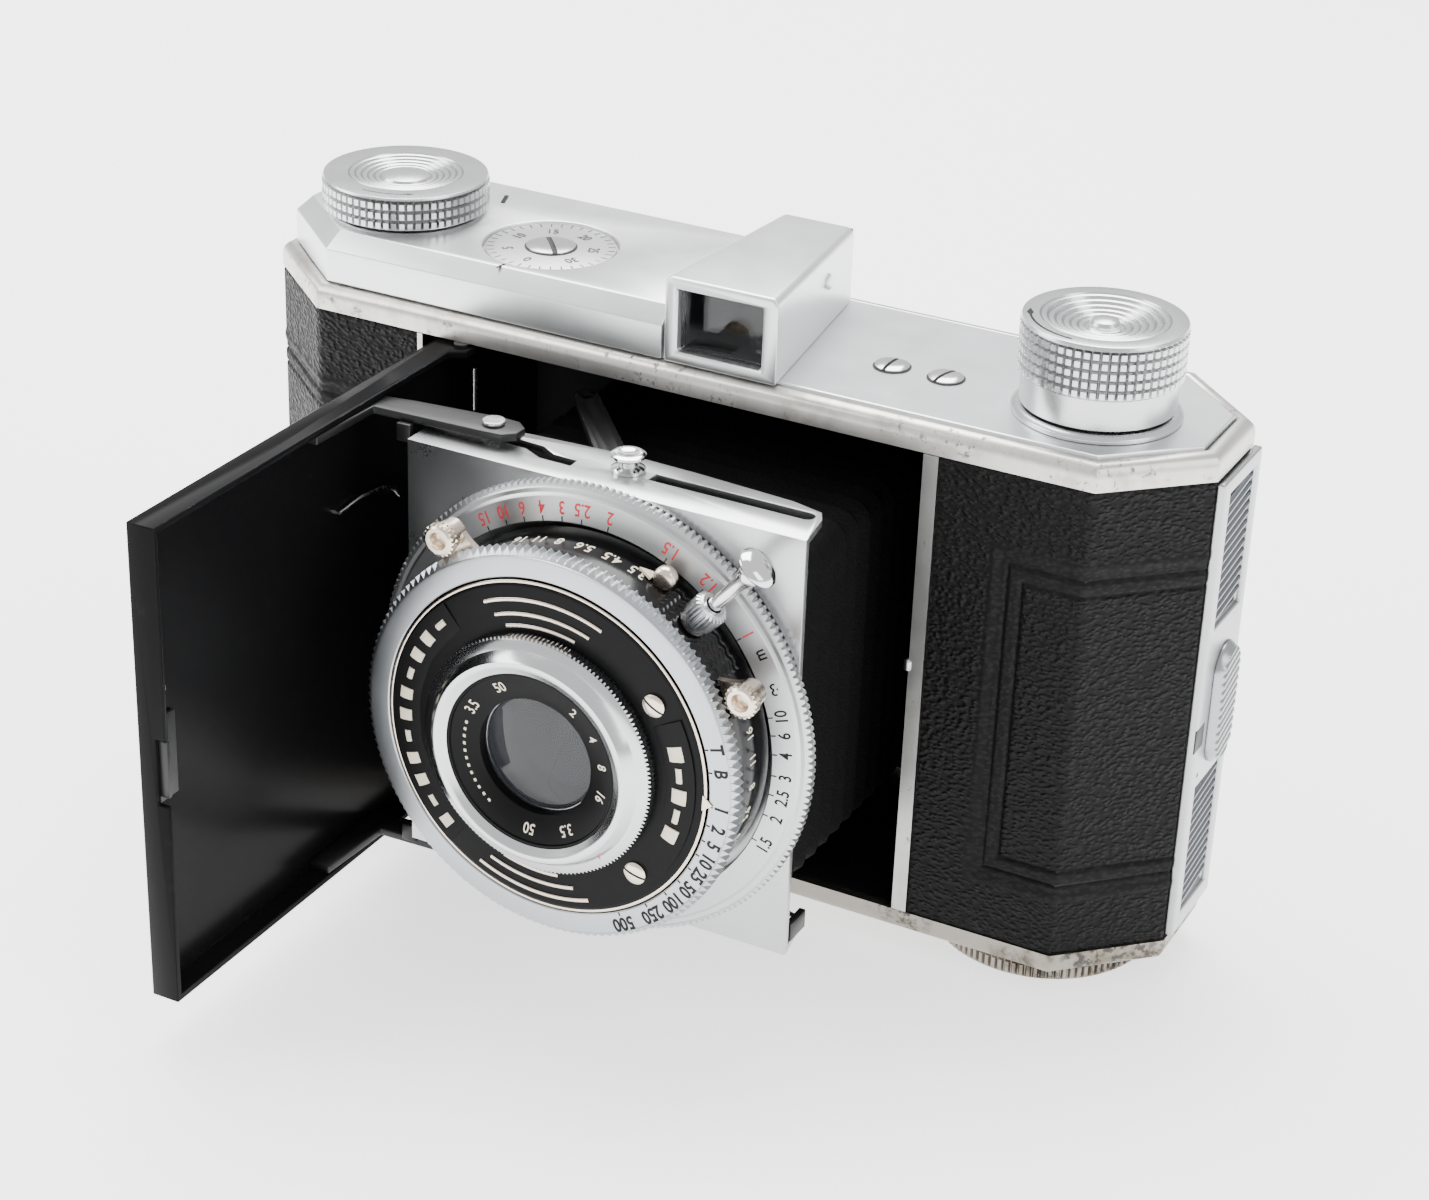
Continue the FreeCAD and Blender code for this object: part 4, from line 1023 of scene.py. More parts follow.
# ------------------------------------------------------------------ bellows
# The bellows is folded from thin black leather over card. The folds are shallow and close, the
# corners are chamfered, and the ridges are rubbed to charcoal grey.
skin = Finish("bellows_skin", (0.003, 0.003, 0.0032), 0.7, specular_ior_level=0.07)
ridge = skin.edges(0.0006)
rubbed = ridge * skin.noise(600.0, 5.0, 0.7).clamp(0.40, 0.66)
skin.put(
    "Base Color", skin.mix(rubbed,
    skin.mix(skin.noise(240.0, 5.0), (0.0022, 0.0022, 0.0024), (0.0045, 0.0045, 0.0047)),
    (0.022, 0.0215, 0.021))
)
grain = skin.cells(2400.0) * 0.5 + skin.noise(1500.0, 4.0) * 0.7
skin.put("Normal", skin.bump(grain, 0.00012, 1.0))
skin.put("Roughness", 0.66 + skin.noise(500.0) * 0.2)
fold_from, fold_to, folds = -20.3, 26.1, 15
work = bmesh.new()
rings = []
for k in range(folds * 2 + 1):
    y = fold_from + (fold_to - fold_from) * k / (folds * 2)
    deep = 0.0 if k % 2 == 0 else 0.85
    half_x, half_z, corner = 21.45 - deep, 20.85 - deep, 2.6 - deep * 0.7
    ring = []
    for sx, sz in ((1, 1), (-1, 1), (-1, -1), (1, -1)):
        for step in range(4):
            turn = math.radians(30 * step)
            if sx * sz > 0:
                cx, cz = math.cos(turn), math.sin(turn)
            else:
                cx, cz = math.sin(turn), math.cos(turn)
            px = sx * (half_x - corner + corner * cx)
            pz = sz * (half_z - corner + corner * cz)
            ring.append(work.verts.new(spot(px, y, pz)))
    rings.append(ring)
for a, b in zip(rings, rings[1:]):
    for k in range(16):
        work.faces.new((a[k], a[(k + 1) % 16], b[(k + 1) % 16], b[k]))
mesh = closed(work, "bellows_work")
holder = bpy.data.objects.new("bellows_work", mesh)
bpy.context.scene.collection.objects.link(holder)
wall = holder.modifiers.new("wall", "SOLIDIFY")
wall.thickness = 0.6 * MM
wall.offset = -1.0
soft = holder.modifiers.new("soft", "BEVEL")
soft.width = 0.12 * MM
soft.segments = 1
soft.limit_method = "ANGLE"
bellows_piece = as_piece("bellows_folded", settled(holder), skin, "standard", ("bellows",), 60.0)
tuple(spot(0, fold_from, 0))
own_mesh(bellows_piece)

# ------------------------------------------------------------------ focusing ring
# The focusing ring is chromed brass: a beaded rim to turn it by and a polished bevel engraved with
# two distance scales, one filled red and one black.
focus_finish = chrome("focus_satin_chrome", (0.58, 0.59, 0.60), 0.36, 0.05, 0.2)
focus_core = lathe([
    (22.62, 21.52), (26.35, 21.52), (26.5, 21.7), (26.5, 22.8), (26.2, 23.0), (25.75, 23.02), (25.55, 23.15),
    (25.4, 23.36), (22.75, 23.83), (22.62, 23.75),
], (0, 0), "lens", 192)
beads = around(
    tooth((26.4, 21.6, 22.9, 0.82), (26.92, 21.85, 22.65, 0.36), "lens"), 200, spot(0, 0, 0), (0, -1, 0),
    focus_finish
)
as_piece("focus_ring_turned", joined(focus_core, beads), focus_finish, "focus", ("focus_ring",), 24.0)


def bevel_place(radius):
    """Figures on the ring's sloping face, with their tops towards the lens."""
    def place(x, y, angle, lift):
        turn = math.radians(angle)
        r = radius - y
        level = 23.4 + (25.15 - r) * 0.178 + lift
        turn += x / radius
        return spot(r * math.cos(turn), -level, r * math.sin(turn))
    return place


metres = [
    ("1", 38.0), ("1.2", 54.0), ("1.5", 66.5), ("2", 84.5), ("2.5", 92.5), ("3", 98.5), ("4", 104.5),
    ("6", 110.5), ("10", 116.5), ("15", 123.0)
]
figures("focus_red_figures", metres, bevel_place(24.3), 2.0, red_ink, "focus", 0.02, 0.03)
near = [
    ("m", 32.0), ("\u221e", 22.5), ("10", 15.0), ("6", 9.8), ("4", 4.2), ("3", -2.2), ("2.5", -8.2),
    ("2", -15.0), ("1.5", -24.0)
]
figures("focus_black_figures", near, bevel_place(24.3), 1.95, ink, "focus", 0.02, 0.035)
for label, marks, paint in (
    ("focus_red_ticks", [m[1] for m in metres], ink), ("focus_black_ticks", [m[1] for m in near[1:]], ink)
):
    work = bmesh.new()
    for angle in marks:
        corners = []
        for lift in (0.0, 0.03):
            for r, side in ((22.75, -0.07), (23.3, -0.07), (23.3, 0.07), (22.75, 0.07)):
                turn = math.radians(angle) + side / r
                level = 23.4 + (25.15 - r) * 0.178 + lift
                corners.append(work.verts.new(spot(r * math.cos(turn), -level, r * math.sin(turn))))
        six_sides(work, corners)
    as_piece(label, closed(work, label), paint, "focus")

# ------------------------------------------------------------------ shutter drum
# The shutter's drum is gloss black lacquer over brass, with the stops painted round it in cream and
# a band of fine waves rolled between the levers.
gloss = Finish("gloss_black_lacquer", (0.004, 0.004, 0.0045), 0.14, specular_ior_level=0.28, coat_weight=0.04)
gloss.put("Roughness", 0.11 + gloss.noise(400.0, 3.0) * 0.09)
gloss.put("Normal", gloss.bump(gloss.noise(900.0, 2.0), 0.00001, 0.4))
softened("shutter_case", gloss, "shutter", 0.1, 2)


def drum_place(level):
    """Figures round the drum, with their tops towards the front."""
    def place(x, y, angle, lift):
        turn = math.radians(angle) + x / 21.7
        r = 21.71 + lift
        return spot(r * math.cos(turn), -(level + y), r * math.sin(turn))
    return place


stops = [("3.5", 70.0), ("4.5", 78.5), ("5.6", 87.5), ("8", 95.5), ("11", 102.0), ("16", 108.5)]
figures("stop_figures", stops, drum_place(26.5), 2.1, cream, "shutter", 0.02, 0.02)
low_stops = [("16", 13.0), ("11", 5.0), ("8", -3.5), ("5.6", -13.0), ("4.5", -23.0), ("3.5", -33.0)]
figures("stop_figures_low", low_stops, drum_place(26.2), 1.8, cream, "shutter", 0.02, 0.0)
work = bmesh.new()
for wave in range(14):
    rows = []
    steps = 30
    begin, span = ((31.0, 14.0), (52.8, 6.5))[wave % 2]
    for k in range(steps + 1):
        angle = math.radians(begin + span * k / steps)
        level = 24.6 + (wave // 2) * 0.85 + 0.2 * math.sin(math.degrees(angle) * 1.6)
        ring = []
        for a in range(5):
            turn = math.pi * a / 4
            r = 21.66 + 0.16 * math.sin(turn)
            ring.append(
                work.verts.new(spot(r * math.cos(angle), -(level + 0.24 * math.cos(turn)), r * math.sin(angle)))
            )
        rows.append(ring)
    for a, b in zip(rows, rows[1:]):
        for k in range(5):
            work.faces.new((a[k], a[(k + 1) % 5], b[(k + 1) % 5], b[k]))
    work.faces.new(rows[0])
    work.faces.new(list(reversed(rows[-1])))
as_piece("drum_waves", closed(work, "drum_waves"), gloss, "shutter")

# ------------------------------------------------------------------ speed ring
# The speed ring is satin chromed brass with a saw-cut rim. Its speeds are stamped and filled black,
# each with a short line at the inner edge.
speed_finish = chrome("speed_satin_chrome", (0.47, 0.495, 0.515), 0.32, 0.12)
speed_core = lathe([
    (19.82, 30.72), (22.45, 30.72), (22.5, 30.8), (22.5, 32.1), (22.2, 32.62), (21.9, 32.7), (19.95, 32.7),
    (19.82, 32.6),
], (0, 0), "lens", 192)
saw = around(
    tooth((22.3, 30.75, 32.5, 1.18), (22.99, 30.95, 31.9, 0.12), "lens"), 150, spot(0, 0, 0), (0, -1, 0),
    speed_finish
)
as_piece("speed_ring_turned", joined(speed_core, saw), speed_finish, "speed", ("speed_ring",), 20.0)


def face_place(radius, level, tops=1):
    """Figures on a face that looks forward, tops outward (1) or inward (-1)."""
    def place(x, y, angle, lift):
        turn = math.radians(angle)
        out = (math.cos(turn), math.sin(turn))
        side = (math.sin(turn) * tops, -math.cos(turn) * tops)
        across = out[0] * (radius + y * tops) + side[0] * x
        up = out[1] * (radius + y * tops) + side[1] * x
        return spot(across, -(level + lift), up)
    return place


speeds = [
    ("T", 16.0), ("B", 8.5), ("1", -3.0), ("2", -9.8), ("5", -15.6), ("10", -21.4), ("25", -27.6),
    ("50", -34.2), ("100", -41.5), ("250", -50.6), ("500", -61.8)
]
figures("speed_figures", speeds, face_place(21.3, 32.71), 2.2, ink, "speed", 0.02, 0.06)
for k, (text, angle) in enumerate(speeds):
    bars("speed_tick_%d" % k, 1, (0.42, 0.16, 0.03), 20.15, (0, 0), 32.72, angle, 1.0, ink, "speed", "lens")

# ------------------------------------------------------------------ face plate
# The face plate is satin black with raised nickel lines: an outer ring, two sets of short arcs, and
# plain cream bars where such a plate carries lettering. Two nickel screws hold it.
satin_black = Finish("satin_black_lacquer", (0.0045, 0.0045, 0.005), 0.32, specular_ior_level=0.09)
satin_black.put("Roughness", 0.30 + satin_black.noise(500.0) * 0.12)
satin_black.put("Normal", satin_black.bump(satin_black.noise(2200.0, 2.0), 0.000012, 0.6))
nickel = chrome("warm_nickel", (0.80, 0.70, 0.59), 0.24, 0.15, 0.2)
softened("face_plate", satin_black, "shutter", 0.1, 2)


def face_level(radius):
    """The dished face plate's front at a radius."""
    if radius > 19.0:
        return 32.6 + (19.6 - radius) * 0.5
    return min(33.2, 32.9 + (19.0 - radius) * 0.0625)


def raised_arc(label, radius, start, end, wide, tall, finish, body, base=None, step=1.5):
    """A raised line that follows a circle on the face, rounded over its top."""
    work = bmesh.new()
    steps = max(2, int(abs(end - start) / step))
    full = abs(abs(end - start) - 360.0) < 0.1
    level = face_level(radius) if base is None else base
    rows = []
    for k in range(steps if full else steps + 1):
        turn = math.radians(start + (end - start) * k / steps)
        ring = []
        for across, lift in ((-0.5, -0.08), (-0.5, 0.6), (-0.28, 1.0), (0.28, 1.0), (0.5, 0.6), (0.5, -0.08)):
            r = radius + across * wide
            ring.append(work.verts.new(spot(r * math.cos(turn), -(level + lift * tall), r * math.sin(turn))))
        rows.append(ring)
    pairs = list(zip(rows, rows[1:])) + ([(rows[-1], rows[0])] if full else [])
    for a, b in pairs:
        for k in range(6):
            work.faces.new((a[k], a[(k + 1) % 6], b[(k + 1) % 6], b[k]))
    if not full:
        work.faces.new(rows[0])
        work.faces.new(list(reversed(rows[-1])))
    made = as_piece(label, closed(work, label), finish, body, (), 50.0)
    return made


raised_arc("face_ring_line", 19.42, 0.0, 360.0, 0.36, 0.16, nickel, "shutter", 32.62)
arcs = [
    (17.5, 67.0, 115.0), (15.9, 70.0, 112.0), (14.6, 75.0, 108.0), (18.0, -116.0, -71.0), (16.5, -113.0, -76.0),
    (15.1, -108.0, -82.0)
]
for k, (radius, start, end) in enumerate(arcs):
    raised_arc("face_arc_%d" % k, radius, start, end, 0.42, 0.18, nickel, "shutter")
raised_arc("left_panel", 17.2, 131.0, 232.0, 3.6, 0.14, satin_black, "shutter")
for k in range(11):
    middle = 137.5 + k * 8.8
    raised_arc(
        "left_lozenge_%d" % k, 17.3, middle - 2.2, middle + 2.2, 1.5 if k % 3 else 0.7, 0.3, cream, "shutter"
    )
raised_arc("right_panel", 16.6, -36.0, 27.0, 3.6, 0.14, satin_black, "shutter")
for k in range(5):
    middle = 15.0 - k * 8.6
    raised_arc(
        "right_lozenge_%d" % k, 16.6, middle - 2.9, middle + 2.9, 1.7 if k % 2 == 0 else 0.7, 0.32, cream,
        "shutter"
    )
slotted(
    "face_screw_up", 16.2 * math.cos(math.radians(35.0)), 16.2 * math.sin(math.radians(35.0)), 1.3, 33.1, 33.6,
    60.0, nickel, "shutter", ("face_screws",), "lens"
)
slotted(
    "face_screw_down", 16.4 * math.cos(math.radians(45.0)), -16.4 * math.sin(math.radians(45.0)), 1.3, 33.1,
    33.6, 75.0, nickel, "shutter", (), "lens"
)
work = bmesh.new()
corners = []
for lift in (0.0, 0.14):
    for r, angle in ((20.35, -2.4), (19.2, -5.0), (19.2, 0.4)):
        turn = math.radians(angle)
        corners.append(work.verts.new(spot(r * math.cos(turn), -(32.74 + lift), r * math.sin(turn))))
for face in ((0, 1, 2), (3, 4, 5), (0, 1, 4, 3), (1, 2, 5, 4), (2, 0, 3, 5)):
    work.faces.new([corners[k] for k in face])
as_piece("speed_index", closed(work, "speed_index"), nickel, "shutter")

# ------------------------------------------------------------------ lens mount and glass
# The lens sits in a chromed mount with a fine cut rim and a polished sloping lip. A black ring with
# painted figures holds the front glass, and the closed shutter's blades show dark behind it.
bezel_finish = chrome("lens_mount_chrome", (0.62, 0.63, 0.645), 0.17, 0.1, 0.15)
bezel = lathe([
    (10.3, 27.82), (10.3, 30.0), (13.15, 30.0), (13.15, 33.22), (13.7, 33.28), (13.75, 34.85), (13.45, 35.05),
    (12.7, 35.3),
    (12.0, 36.35), (11.78, 36.55), (11.5, 36.6), (11.2, 36.55), (10.95, 36.4), (10.3, 36.05), (10.3, 34.5),
    (6.8, 33.4), (6.8, 27.82),
], (0, 0), "lens", 160)
fine = around(
    tooth((13.6, 33.3, 34.8, 0.9), (13.99, 33.4, 34.65, 0.25), "lens"), 168, spot(0, 0, 0), (0, -1, 0),
    bezel_finish
)
as_piece("lens_bezel_turned", joined(bezel, fine), bezel_finish, "shutter", ("lens_bezel",), 26.0)
bars("bezel_mark", 1, (0.9, 0.16, 0.04), 12.4, (0, 0), 35.78, -47.0, 1.0, red_ink, "shutter", "lens")
ring_black = lathe(
    [(6.85, 33.65), (10.2, 34.62), (10.25, 35.98), (10.0, 35.98), (9.9, 35.75), (6.95, 34.88), (6.85, 34.8)],
    (0, 0), "lens", 96
)
as_piece("name_ring_turned", ring_black, satin_black, "shutter", ("name_ring",), 30.0)


def cone_place(radius):
    def place(x, y, angle, lift):
        turn = math.radians(angle)
        out = (math.cos(turn), math.sin(turn))
        side = (math.sin(turn), -math.cos(turn))
        across, up = out[0] * (radius + y) + side[0] * x, out[1] * (radius + y) + side[1] * x
        level = 34.9 + (math.hypot(across, up) - 6.95) * 0.295 + lift
        return spot(across, -level, up)
    return place


ring_marks = [
    ("3.5", 150.0), ("50", 118.0), ("2", 55.0), ("4", 32.0), ("8", 10.0), ("16", -14.0), ("3.5", -60.0),
    ("50", -92.0)
]
figures("name_ring_figures", ring_marks, cone_place(8.55), 1.7, cream, "shutter", 0.015, 0.01)
bars("name_ring_dots", 12, (0.35, 0.35, 0.05), 8.5, (0, 0), 35.35, 165.0, 6.0, cream, "shutter", "lens")
glass = Finish("coated_glass", (0.90, 0.92, 0.93), 0.0, transmission_weight=1.0, ior=1.35)
glass.put("Base Color", glass.mix(glass.noise(80.0), (0.84, 0.87, 0.90), (0.90, 0.91, 0.92)))
front_glass = Finish("coated_front_glass", (0.030, 0.032, 0.038), 0.04, alpha=0.40, specular_ior_level=0.75)
front_glass.put("Roughness", 0.03 + front_glass.noise(120.0) * 0.02)
dome = []
for k in range(9):
    r = 6.75 * k / 8
    dome.append((r, 33.9 + 1.0 * (1 - (r / 6.75) ** 2)))
for k in range(8, -1, -1):
    r = 6.75 * k / 8
    dome.append((r, 32.4 + 0.5 * (r / 6.75) ** 2))
as_piece(
    "front_glass_ground", lathe(dome, (0, 0), "lens", 96), front_glass, "shutter", ("front_element",), 60.0
)
inner = Finish("matt_black_inside", (0.02, 0.02, 0.021), 0.6)
inner.put("Roughness", 0.5 + inner.noise(700.0) * 0.25)
blade_finish = Finish("blued_blades", (0.10, 0.104, 0.108), 0.38, 0.8)
blade_finish.put("Roughness", 0.28 + blade_finish.noise(300.0) * 0.15)
work = bmesh.new()
for blade in range(5):
    begin = math.tau * blade / 5 + 0.4
    turns = [begin + 1.45 * k / 10 for k in range(11)]
    edge = [(0.0, 0.0)] + [(11.8 * math.cos(turn), 11.8 * math.sin(turn)) for turn in turns]
    front, rear = [], []
    for k, (x, z) in enumerate(edge):
        tilt = 0.9 * (k / 11.0) + 0.02
        front.append(work.verts.new(spot(x, -(26.93 + tilt + 0.06), z)))
        rear.append(work.verts.new(spot(x, -(26.90 + tilt), z)))
    work.faces.new(front)
    work.faces.new(list(reversed(rear)))
    for k in range(12):
        n = (k + 1) % 12
        work.faces.new((front[k], front[n], rear[n], rear[k]))
as_piece(
    "shutter_blades_cut", closed(work, "shutter_blades_cut"), blade_finish, "shutter", ("shutter_blades",), 10.0
)

# ------------------------------------------------------------------ levers and cable release
# Cocking and release levers and the stop pointer are nickel plated, warmer than the chrome; the cable
# socket is satin chrome. Each lever ends in a small drilled knob with a cut rim.


def lever_knob(label, node, body, radius, angle, low, high, ring_low, ring_high):
    turn = math.radians(angle)
    middle = (radius * math.cos(turn), radius * math.sin(turn))
    head = lathe([
        (0.0, low), (1.62, low), (1.66, high - 0.15), (1.45, high), (1.05, high), (0.95, high - 0.12),
        (0.75, high - 1.1), (0.0, high - 1.1),
    ], middle, "lens", 48)
    teeth = around(
        tooth((1.6, (low + high) / 2 - 0.2, high - 0.12, 8.0), (1.89, (low + high) / 2 - 0.1, high - 0.25, 3.0),
        "lens"), 20, spot(middle[0], 0, middle[1]), (0, -1, 0), nickel
    )
    neck = lathe(
        [(0.0, ring_low + 0.02), (1.5, ring_low + 0.02), (1.5, low + 0.1), (0.0, low + 0.1)], middle, "lens", 32
    )
    work = bmesh.new()
    steps = 10
    arms = []
    for level in (ring_low, ring_high):
        loop = []
        for k in range(steps + 1):
            share = k / steps
            r = 21.85 + (radius - 21.85) * share
            half = 2.3 - 0.9 * math.sin(share * math.pi / 2)
            loop.append((r, half))
        outline = [(r, half) for r, half in loop] + [(r, -half) for r, half in reversed(loop)]
        verts = []
        for r, side in outline:
            x = r * math.cos(turn) - side * math.sin(turn)
            z = r * math.sin(turn) + side * math.cos(turn)
            size = math.hypot(x, z)
            if size < 21.8:
                x, z = x * 21.8 / size, z * 21.8 / size
            verts.append(work.verts.new(spot(x, -level, z)))
        arms.append(verts)
    total = len(arms[0])
    work.faces.new(list(reversed(arms[0])))
    work.faces.new(arms[1])
    for k in range(total):
        n = (k + 1) % total
        work.faces.new((arms[0][k], arms[0][n], arms[1][n], arms[1][k]))
    arm = closed(work, "arm")
    return as_piece(label, joined(head, teeth, neck, arm), nickel, body, (node,), 30.0)


lever_knob("cocking_lever_plated", "cocking_lever", "cocking", 25.1, 122.0, 30.9, 32.88, 29.5, 30.3)
lever_knob("release_lever_plated", "release_lever", "release", 25.1, 27.0, 29.6, 31.58, 28.4, 29.2)
turn = math.radians(63.0)
pointer_at = (22.75 * math.cos(turn), 22.75 * math.sin(turn))
pointer = lathe(
    [(0.0, 25.2), (1.15, 25.2), (1.3, 25.5), (1.3, 26.3), (1.1, 26.6), (0.6, 26.75), (0.0, 26.8)], pointer_at,
    "lens", 40
)
work = bmesh.new()
corners = []
for r in (21.85, 22.15):
    for angle, level in ((66.0, 25.2), (66.0, 26.7), (70.5, 26.1), (68.0, 25.6)):
        a = math.radians(angle)
        corners.append(work.verts.new(spot(r * math.cos(a), -level, r * math.sin(a))))
six_sides(work, corners)
tip = closed(work, "tip")
as_piece("aperture_pointer_plated", pointer, nickel, "aperture", ("aperture_pointer",), 40.0)
as_piece("aperture_pointer_tip", tip, cream, "aperture")


def radial(profile, angle, level, segments=40):
    """A piece turned about a line that runs straight out from the lens axis."""
    turn = math.radians(angle)
    out = Vector((math.cos(turn), 0, math.sin(turn)))
    side = Vector((-math.sin(turn), 0, math.cos(turn)))
    front = Vector((0, -1, 0))
    work = bmesh.new()
    rows = []
    for radius, reach in profile:
        row = []
        for k in range(segments if radius > 1e-6 else 1):
            a = math.tau * k / segments
            place = out * reach + side * (radius * math.cos(a)) + front * (radius * math.sin(a) + level)
            row.append(work.verts.new(spot(0, 0, 0) + place * MM))
        rows.append(row)
    for a, b in zip(rows, rows[1:] + rows[:1]):
        if len(a) == 1 and len(b) == 1:
            continue
        for k in range(segments):
            n = (k + 1) % segments
            if len(a) == 1:
                work.faces.new((a[0], b[n], b[k]))
            elif len(b) == 1:
                work.faces.new((a[k], a[n], b[0]))
            else:
                work.faces.new((a[k], a[n], b[n], b[k]))
    return closed(work, "radial")


socket_angle, socket_level = 49.0, 27.2
collar = radial(
    [(0.97, 22.0), (1.6, 22.0), (1.65, 22.7), (1.6, 23.0), (1.6, 25.5), (1.4, 25.6), (0.97, 25.6)],
    socket_angle, socket_level
)
ribs = []
turn = math.radians(socket_angle)
out = Vector((math.cos(turn), 0, math.sin(turn)))
side = Vector((-math.sin(turn), 0, math.cos(turn)))
front = Vector((0, -1, 0))
for k in range(24):
    a = math.radians(15.0 * k)
    work = bmesh.new()
    corners = []
    for r, half, low, high in ((1.55, 6.5, 22.9, 25.4), (1.98, 2.5, 23.15, 25.15)):
        for reach, sign in ((low, -1), (low, 1), (high, 1), (high, -1)):
            b = a + math.radians(half * sign)
            place = out * reach + side * (r * math.cos(b)) + front * (r * math.sin(b) + socket_level)
            corners.append(work.verts.new(spot(0, 0, 0) + place * MM))
    six_sides(work, corners)
    ribs.append(closed(work, "rib"))
as_piece("cable_socket_turned", joined(collar, *ribs), knob_finish, "shutter", ("cable_socket",), 26.0)
plunger = radial([
    (0.0, 21.95), (0.8, 21.95), (0.8, 28.5), (0.88, 30.2), (1.2, 31.2), (1.35, 31.8), (1.2, 32.3), (1.6, 32.6),
    (2.25, 32.75),
    (2.4, 33.0), (2.3, 33.3), (1.7, 33.7), (0.9, 33.92), (0.0, 33.98),
], socket_angle, socket_level)
as_piece("plunger_turned", plunger, stud_finish, "plunger", ("release_plunger",), 45.0)

# ------------------------------------------------------------------ remaining pieces
# What is left keeps its drawn shape: castings, shafts, spool, hinge pins, gate and glass. Each gets
# the finish of its metal or lacquer.
casting_black = Finish("crackle_black", (0.007, 0.007, 0.0072), 0.5, specular_ior_level=0.25)
casting_black.put("Roughness", 0.42 + casting_black.noise(600.0) * 0.25)
casting_black.put("Normal", casting_black.bump(casting_black.cells(1800.0), 0.00004, 0.5))
strip_bright = chrome("bright_strip", (0.55, 0.55, 0.54), 0.30, 0.6)
work = bmesh.new()
rings = []
for y, left_x, right_x, low, high in ((2.75, -3.14, 7.2, 33.56, 40.82), (27.6, -2.85, 3.85, 33.56, 40.05)):
    for shrink in (0.0, 0.14):
        rings.append([work.verts.new(spot(x, y, z)) for x, z in (
            (left_x + shrink, low + shrink), (right_x - shrink, low + shrink),
            (right_x - shrink, high - shrink), (left_x + shrink, high - shrink))])
for a, b in ((0, 1), (1, 3), (3, 2), (2, 0)):
    for k in range(4):
        n = (k + 1) % 4
        work.faces.new((rings[a][k], rings[a][n], rings[b][n], rings[b][k]))
as_piece("finder_tunnel", closed(work, "finder_tunnel"), inner, "camera_body")
# A matt black block across the tunnel's far end, before the eyepiece glass: painted shade for the finder's dark
# depth.
block("finder_shade_block", (-2.7, 26.6, 33.8), (3.6, 27.4, 39.9), inner, "camera_body", 0.05)
plug = lathe([(0.0, 0.0), (0.95, 0.0), (0.95, 0.25), (0.7, 0.38), (0.0, 0.4)], (0, 0), "up", 32)
to_body = Matrix.Translation(-spot(0, 0, 0))
leaning = Matrix.Rotation(math.radians(82.0), 4, "Y")
plug.transform(Matrix.Translation(spot(6.72, 18.3, 38.2)) @ leaning @ to_body)
as_piece("finder_side_plug", plug, housing_satin, "camera_body")
stud = lathe(
    [(0.0, 26.0), (0.45, 26.0), (0.55, 26.2), (0.55, 27.1), (0.3, 27.35), (0.0, 27.4)], (0, 0), "up", 32
)
stud.transform(to_body @ Matrix.Translation(spot(27.5, 0.25, -23.7)))
as_piece("strip_stud", stud, rivet_steel, "camera_body")
kept = {
    "body_casting": casting_black, "film_gate": casting_black, "finder_eyepiece": casting_black,
    "takeup_spool": casting_black,
    "back_door_shell": casting_black, "pressure_plate": casting_black, "opening_strips": strip_bright,
    "wind_shaft": screw_steel,
    "rewind_shaft": screw_steel, "rewind_sleeve": screw_steel, "back_hinge_knuckles": screw_steel,
    "back_hinge_pin": screw_steel,
    "rear_cell": gloss, "iris_blades": blade_finish,
    "rear_element": front_glass, "finder_front_lens": glass, "finder_eye_glass": glass,
}
for node, finish in kept.items():
    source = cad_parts[node]
    source.data.materials.clear()
    source.data.materials.append(finish.material)
    if not source.hide_render:
        for face in source.data.polygons:
            face.material_index = 0

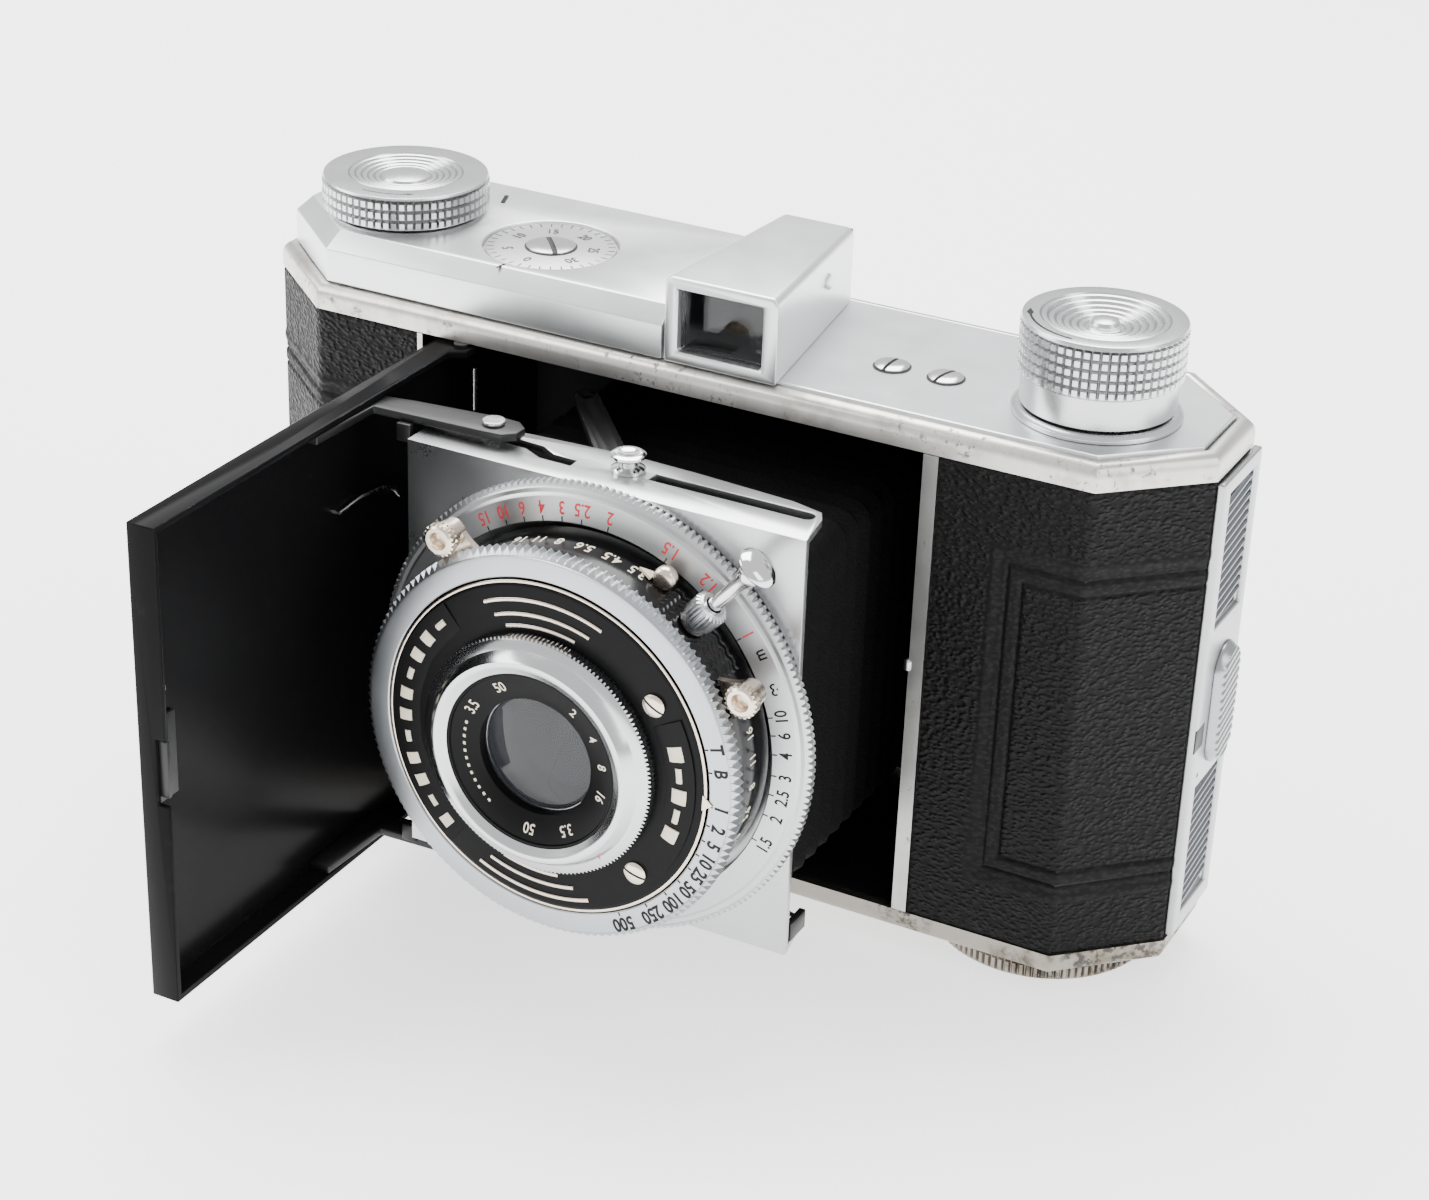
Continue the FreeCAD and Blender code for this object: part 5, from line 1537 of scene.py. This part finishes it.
# ------------------------------------------------------------------ table, light and camera
# The camera stands on a plain pale table under broad soft light from above and the left.
pale = Finish("pale_sweep", (0.93, 0.93, 0.93), 0.6)
pale.put("Base Color", pale.mix(pale.noise(3.0), (0.92, 0.92, 0.92), (0.94, 0.94, 0.94)))
pale.put("Emission Color", (1.0, 1.0, 1.0, 1.0))
pale.put("Emission Strength", 1.5)
table_level = cad_box[0][2]
work = bmesh.new()
bmesh.ops.create_circle(work, cap_ends=True, segments=96, radius=9.0)
for vert in work.verts:
    vert.co.z = table_level
mesh = bpy.data.meshes.new("sweep")
work.to_mesh(mesh)
work.free()
sweep = bpy.data.objects.new("sweep", mesh)
mesh.materials.append(pale.material)
mesh.shade_smooth()
bpy.context.scene.collection.objects.link(sweep)


def softbox(name, place, aim, wide, tall, power):
    lamp = bpy.data.lights.new(name, "AREA")
    lamp.shape = "RECTANGLE"
    lamp.size, lamp.size_y = wide, tall
    lamp.energy = power
    made = bpy.data.objects.new(name, lamp)
    made.location = place
    made.rotation_euler = (Vector(aim) - Vector(place)).to_track_quat("-Z", "Y").to_euler()
    bpy.context.scene.collection.objects.link(made)


middle = spot(0, 5, 5)
softbox("top_box", middle + Vector((-0.25, 0.35, 0.9)), middle, 0.9, 0.7, 22.0)
softbox("left_box", middle + Vector((-0.9, -0.45, 0.55)), middle, 0.6, 0.7, 8.0)
softbox("right_box", middle + Vector((0.95, -0.15, 0.5)), middle, 0.5, 0.7, 4.0)
world = bpy.data.worlds.new("studio")
world.use_nodes = True
world.node_tree.nodes["Background"].inputs[0].default_value = (1.0, 1.0, 1.0, 1.0)
world.node_tree.nodes["Background"].inputs[1].default_value = 1.1
bpy.context.scene.world = world

view = bpy.data.cameras.new("view")
view.sensor_width = 36.0
view.lens = 77.15
view.clip_start = 0.01
seer = bpy.data.objects.new("view", view)
bpy.context.scene.collection.objects.link(seer)
turn, tip, roll = math.radians(26.77), math.radians(26.82), math.radians(2.2)
forward = Vector((-math.sin(turn) * math.cos(tip), math.cos(turn) * math.cos(tip), -math.sin(tip)))
right = forward.cross(Vector((0, 0, 1))).normalized()
up = right.cross(forward)
across = right * math.cos(roll) + up * math.sin(roll)
above = up * math.cos(roll) - right * math.sin(roll)
seer.matrix_world = Matrix.Translation(
    spot(143.85, -278.98, 162.53)
) @ Matrix((across, above, -forward)).transposed().to_4x4()
bpy.context.scene.camera = seer
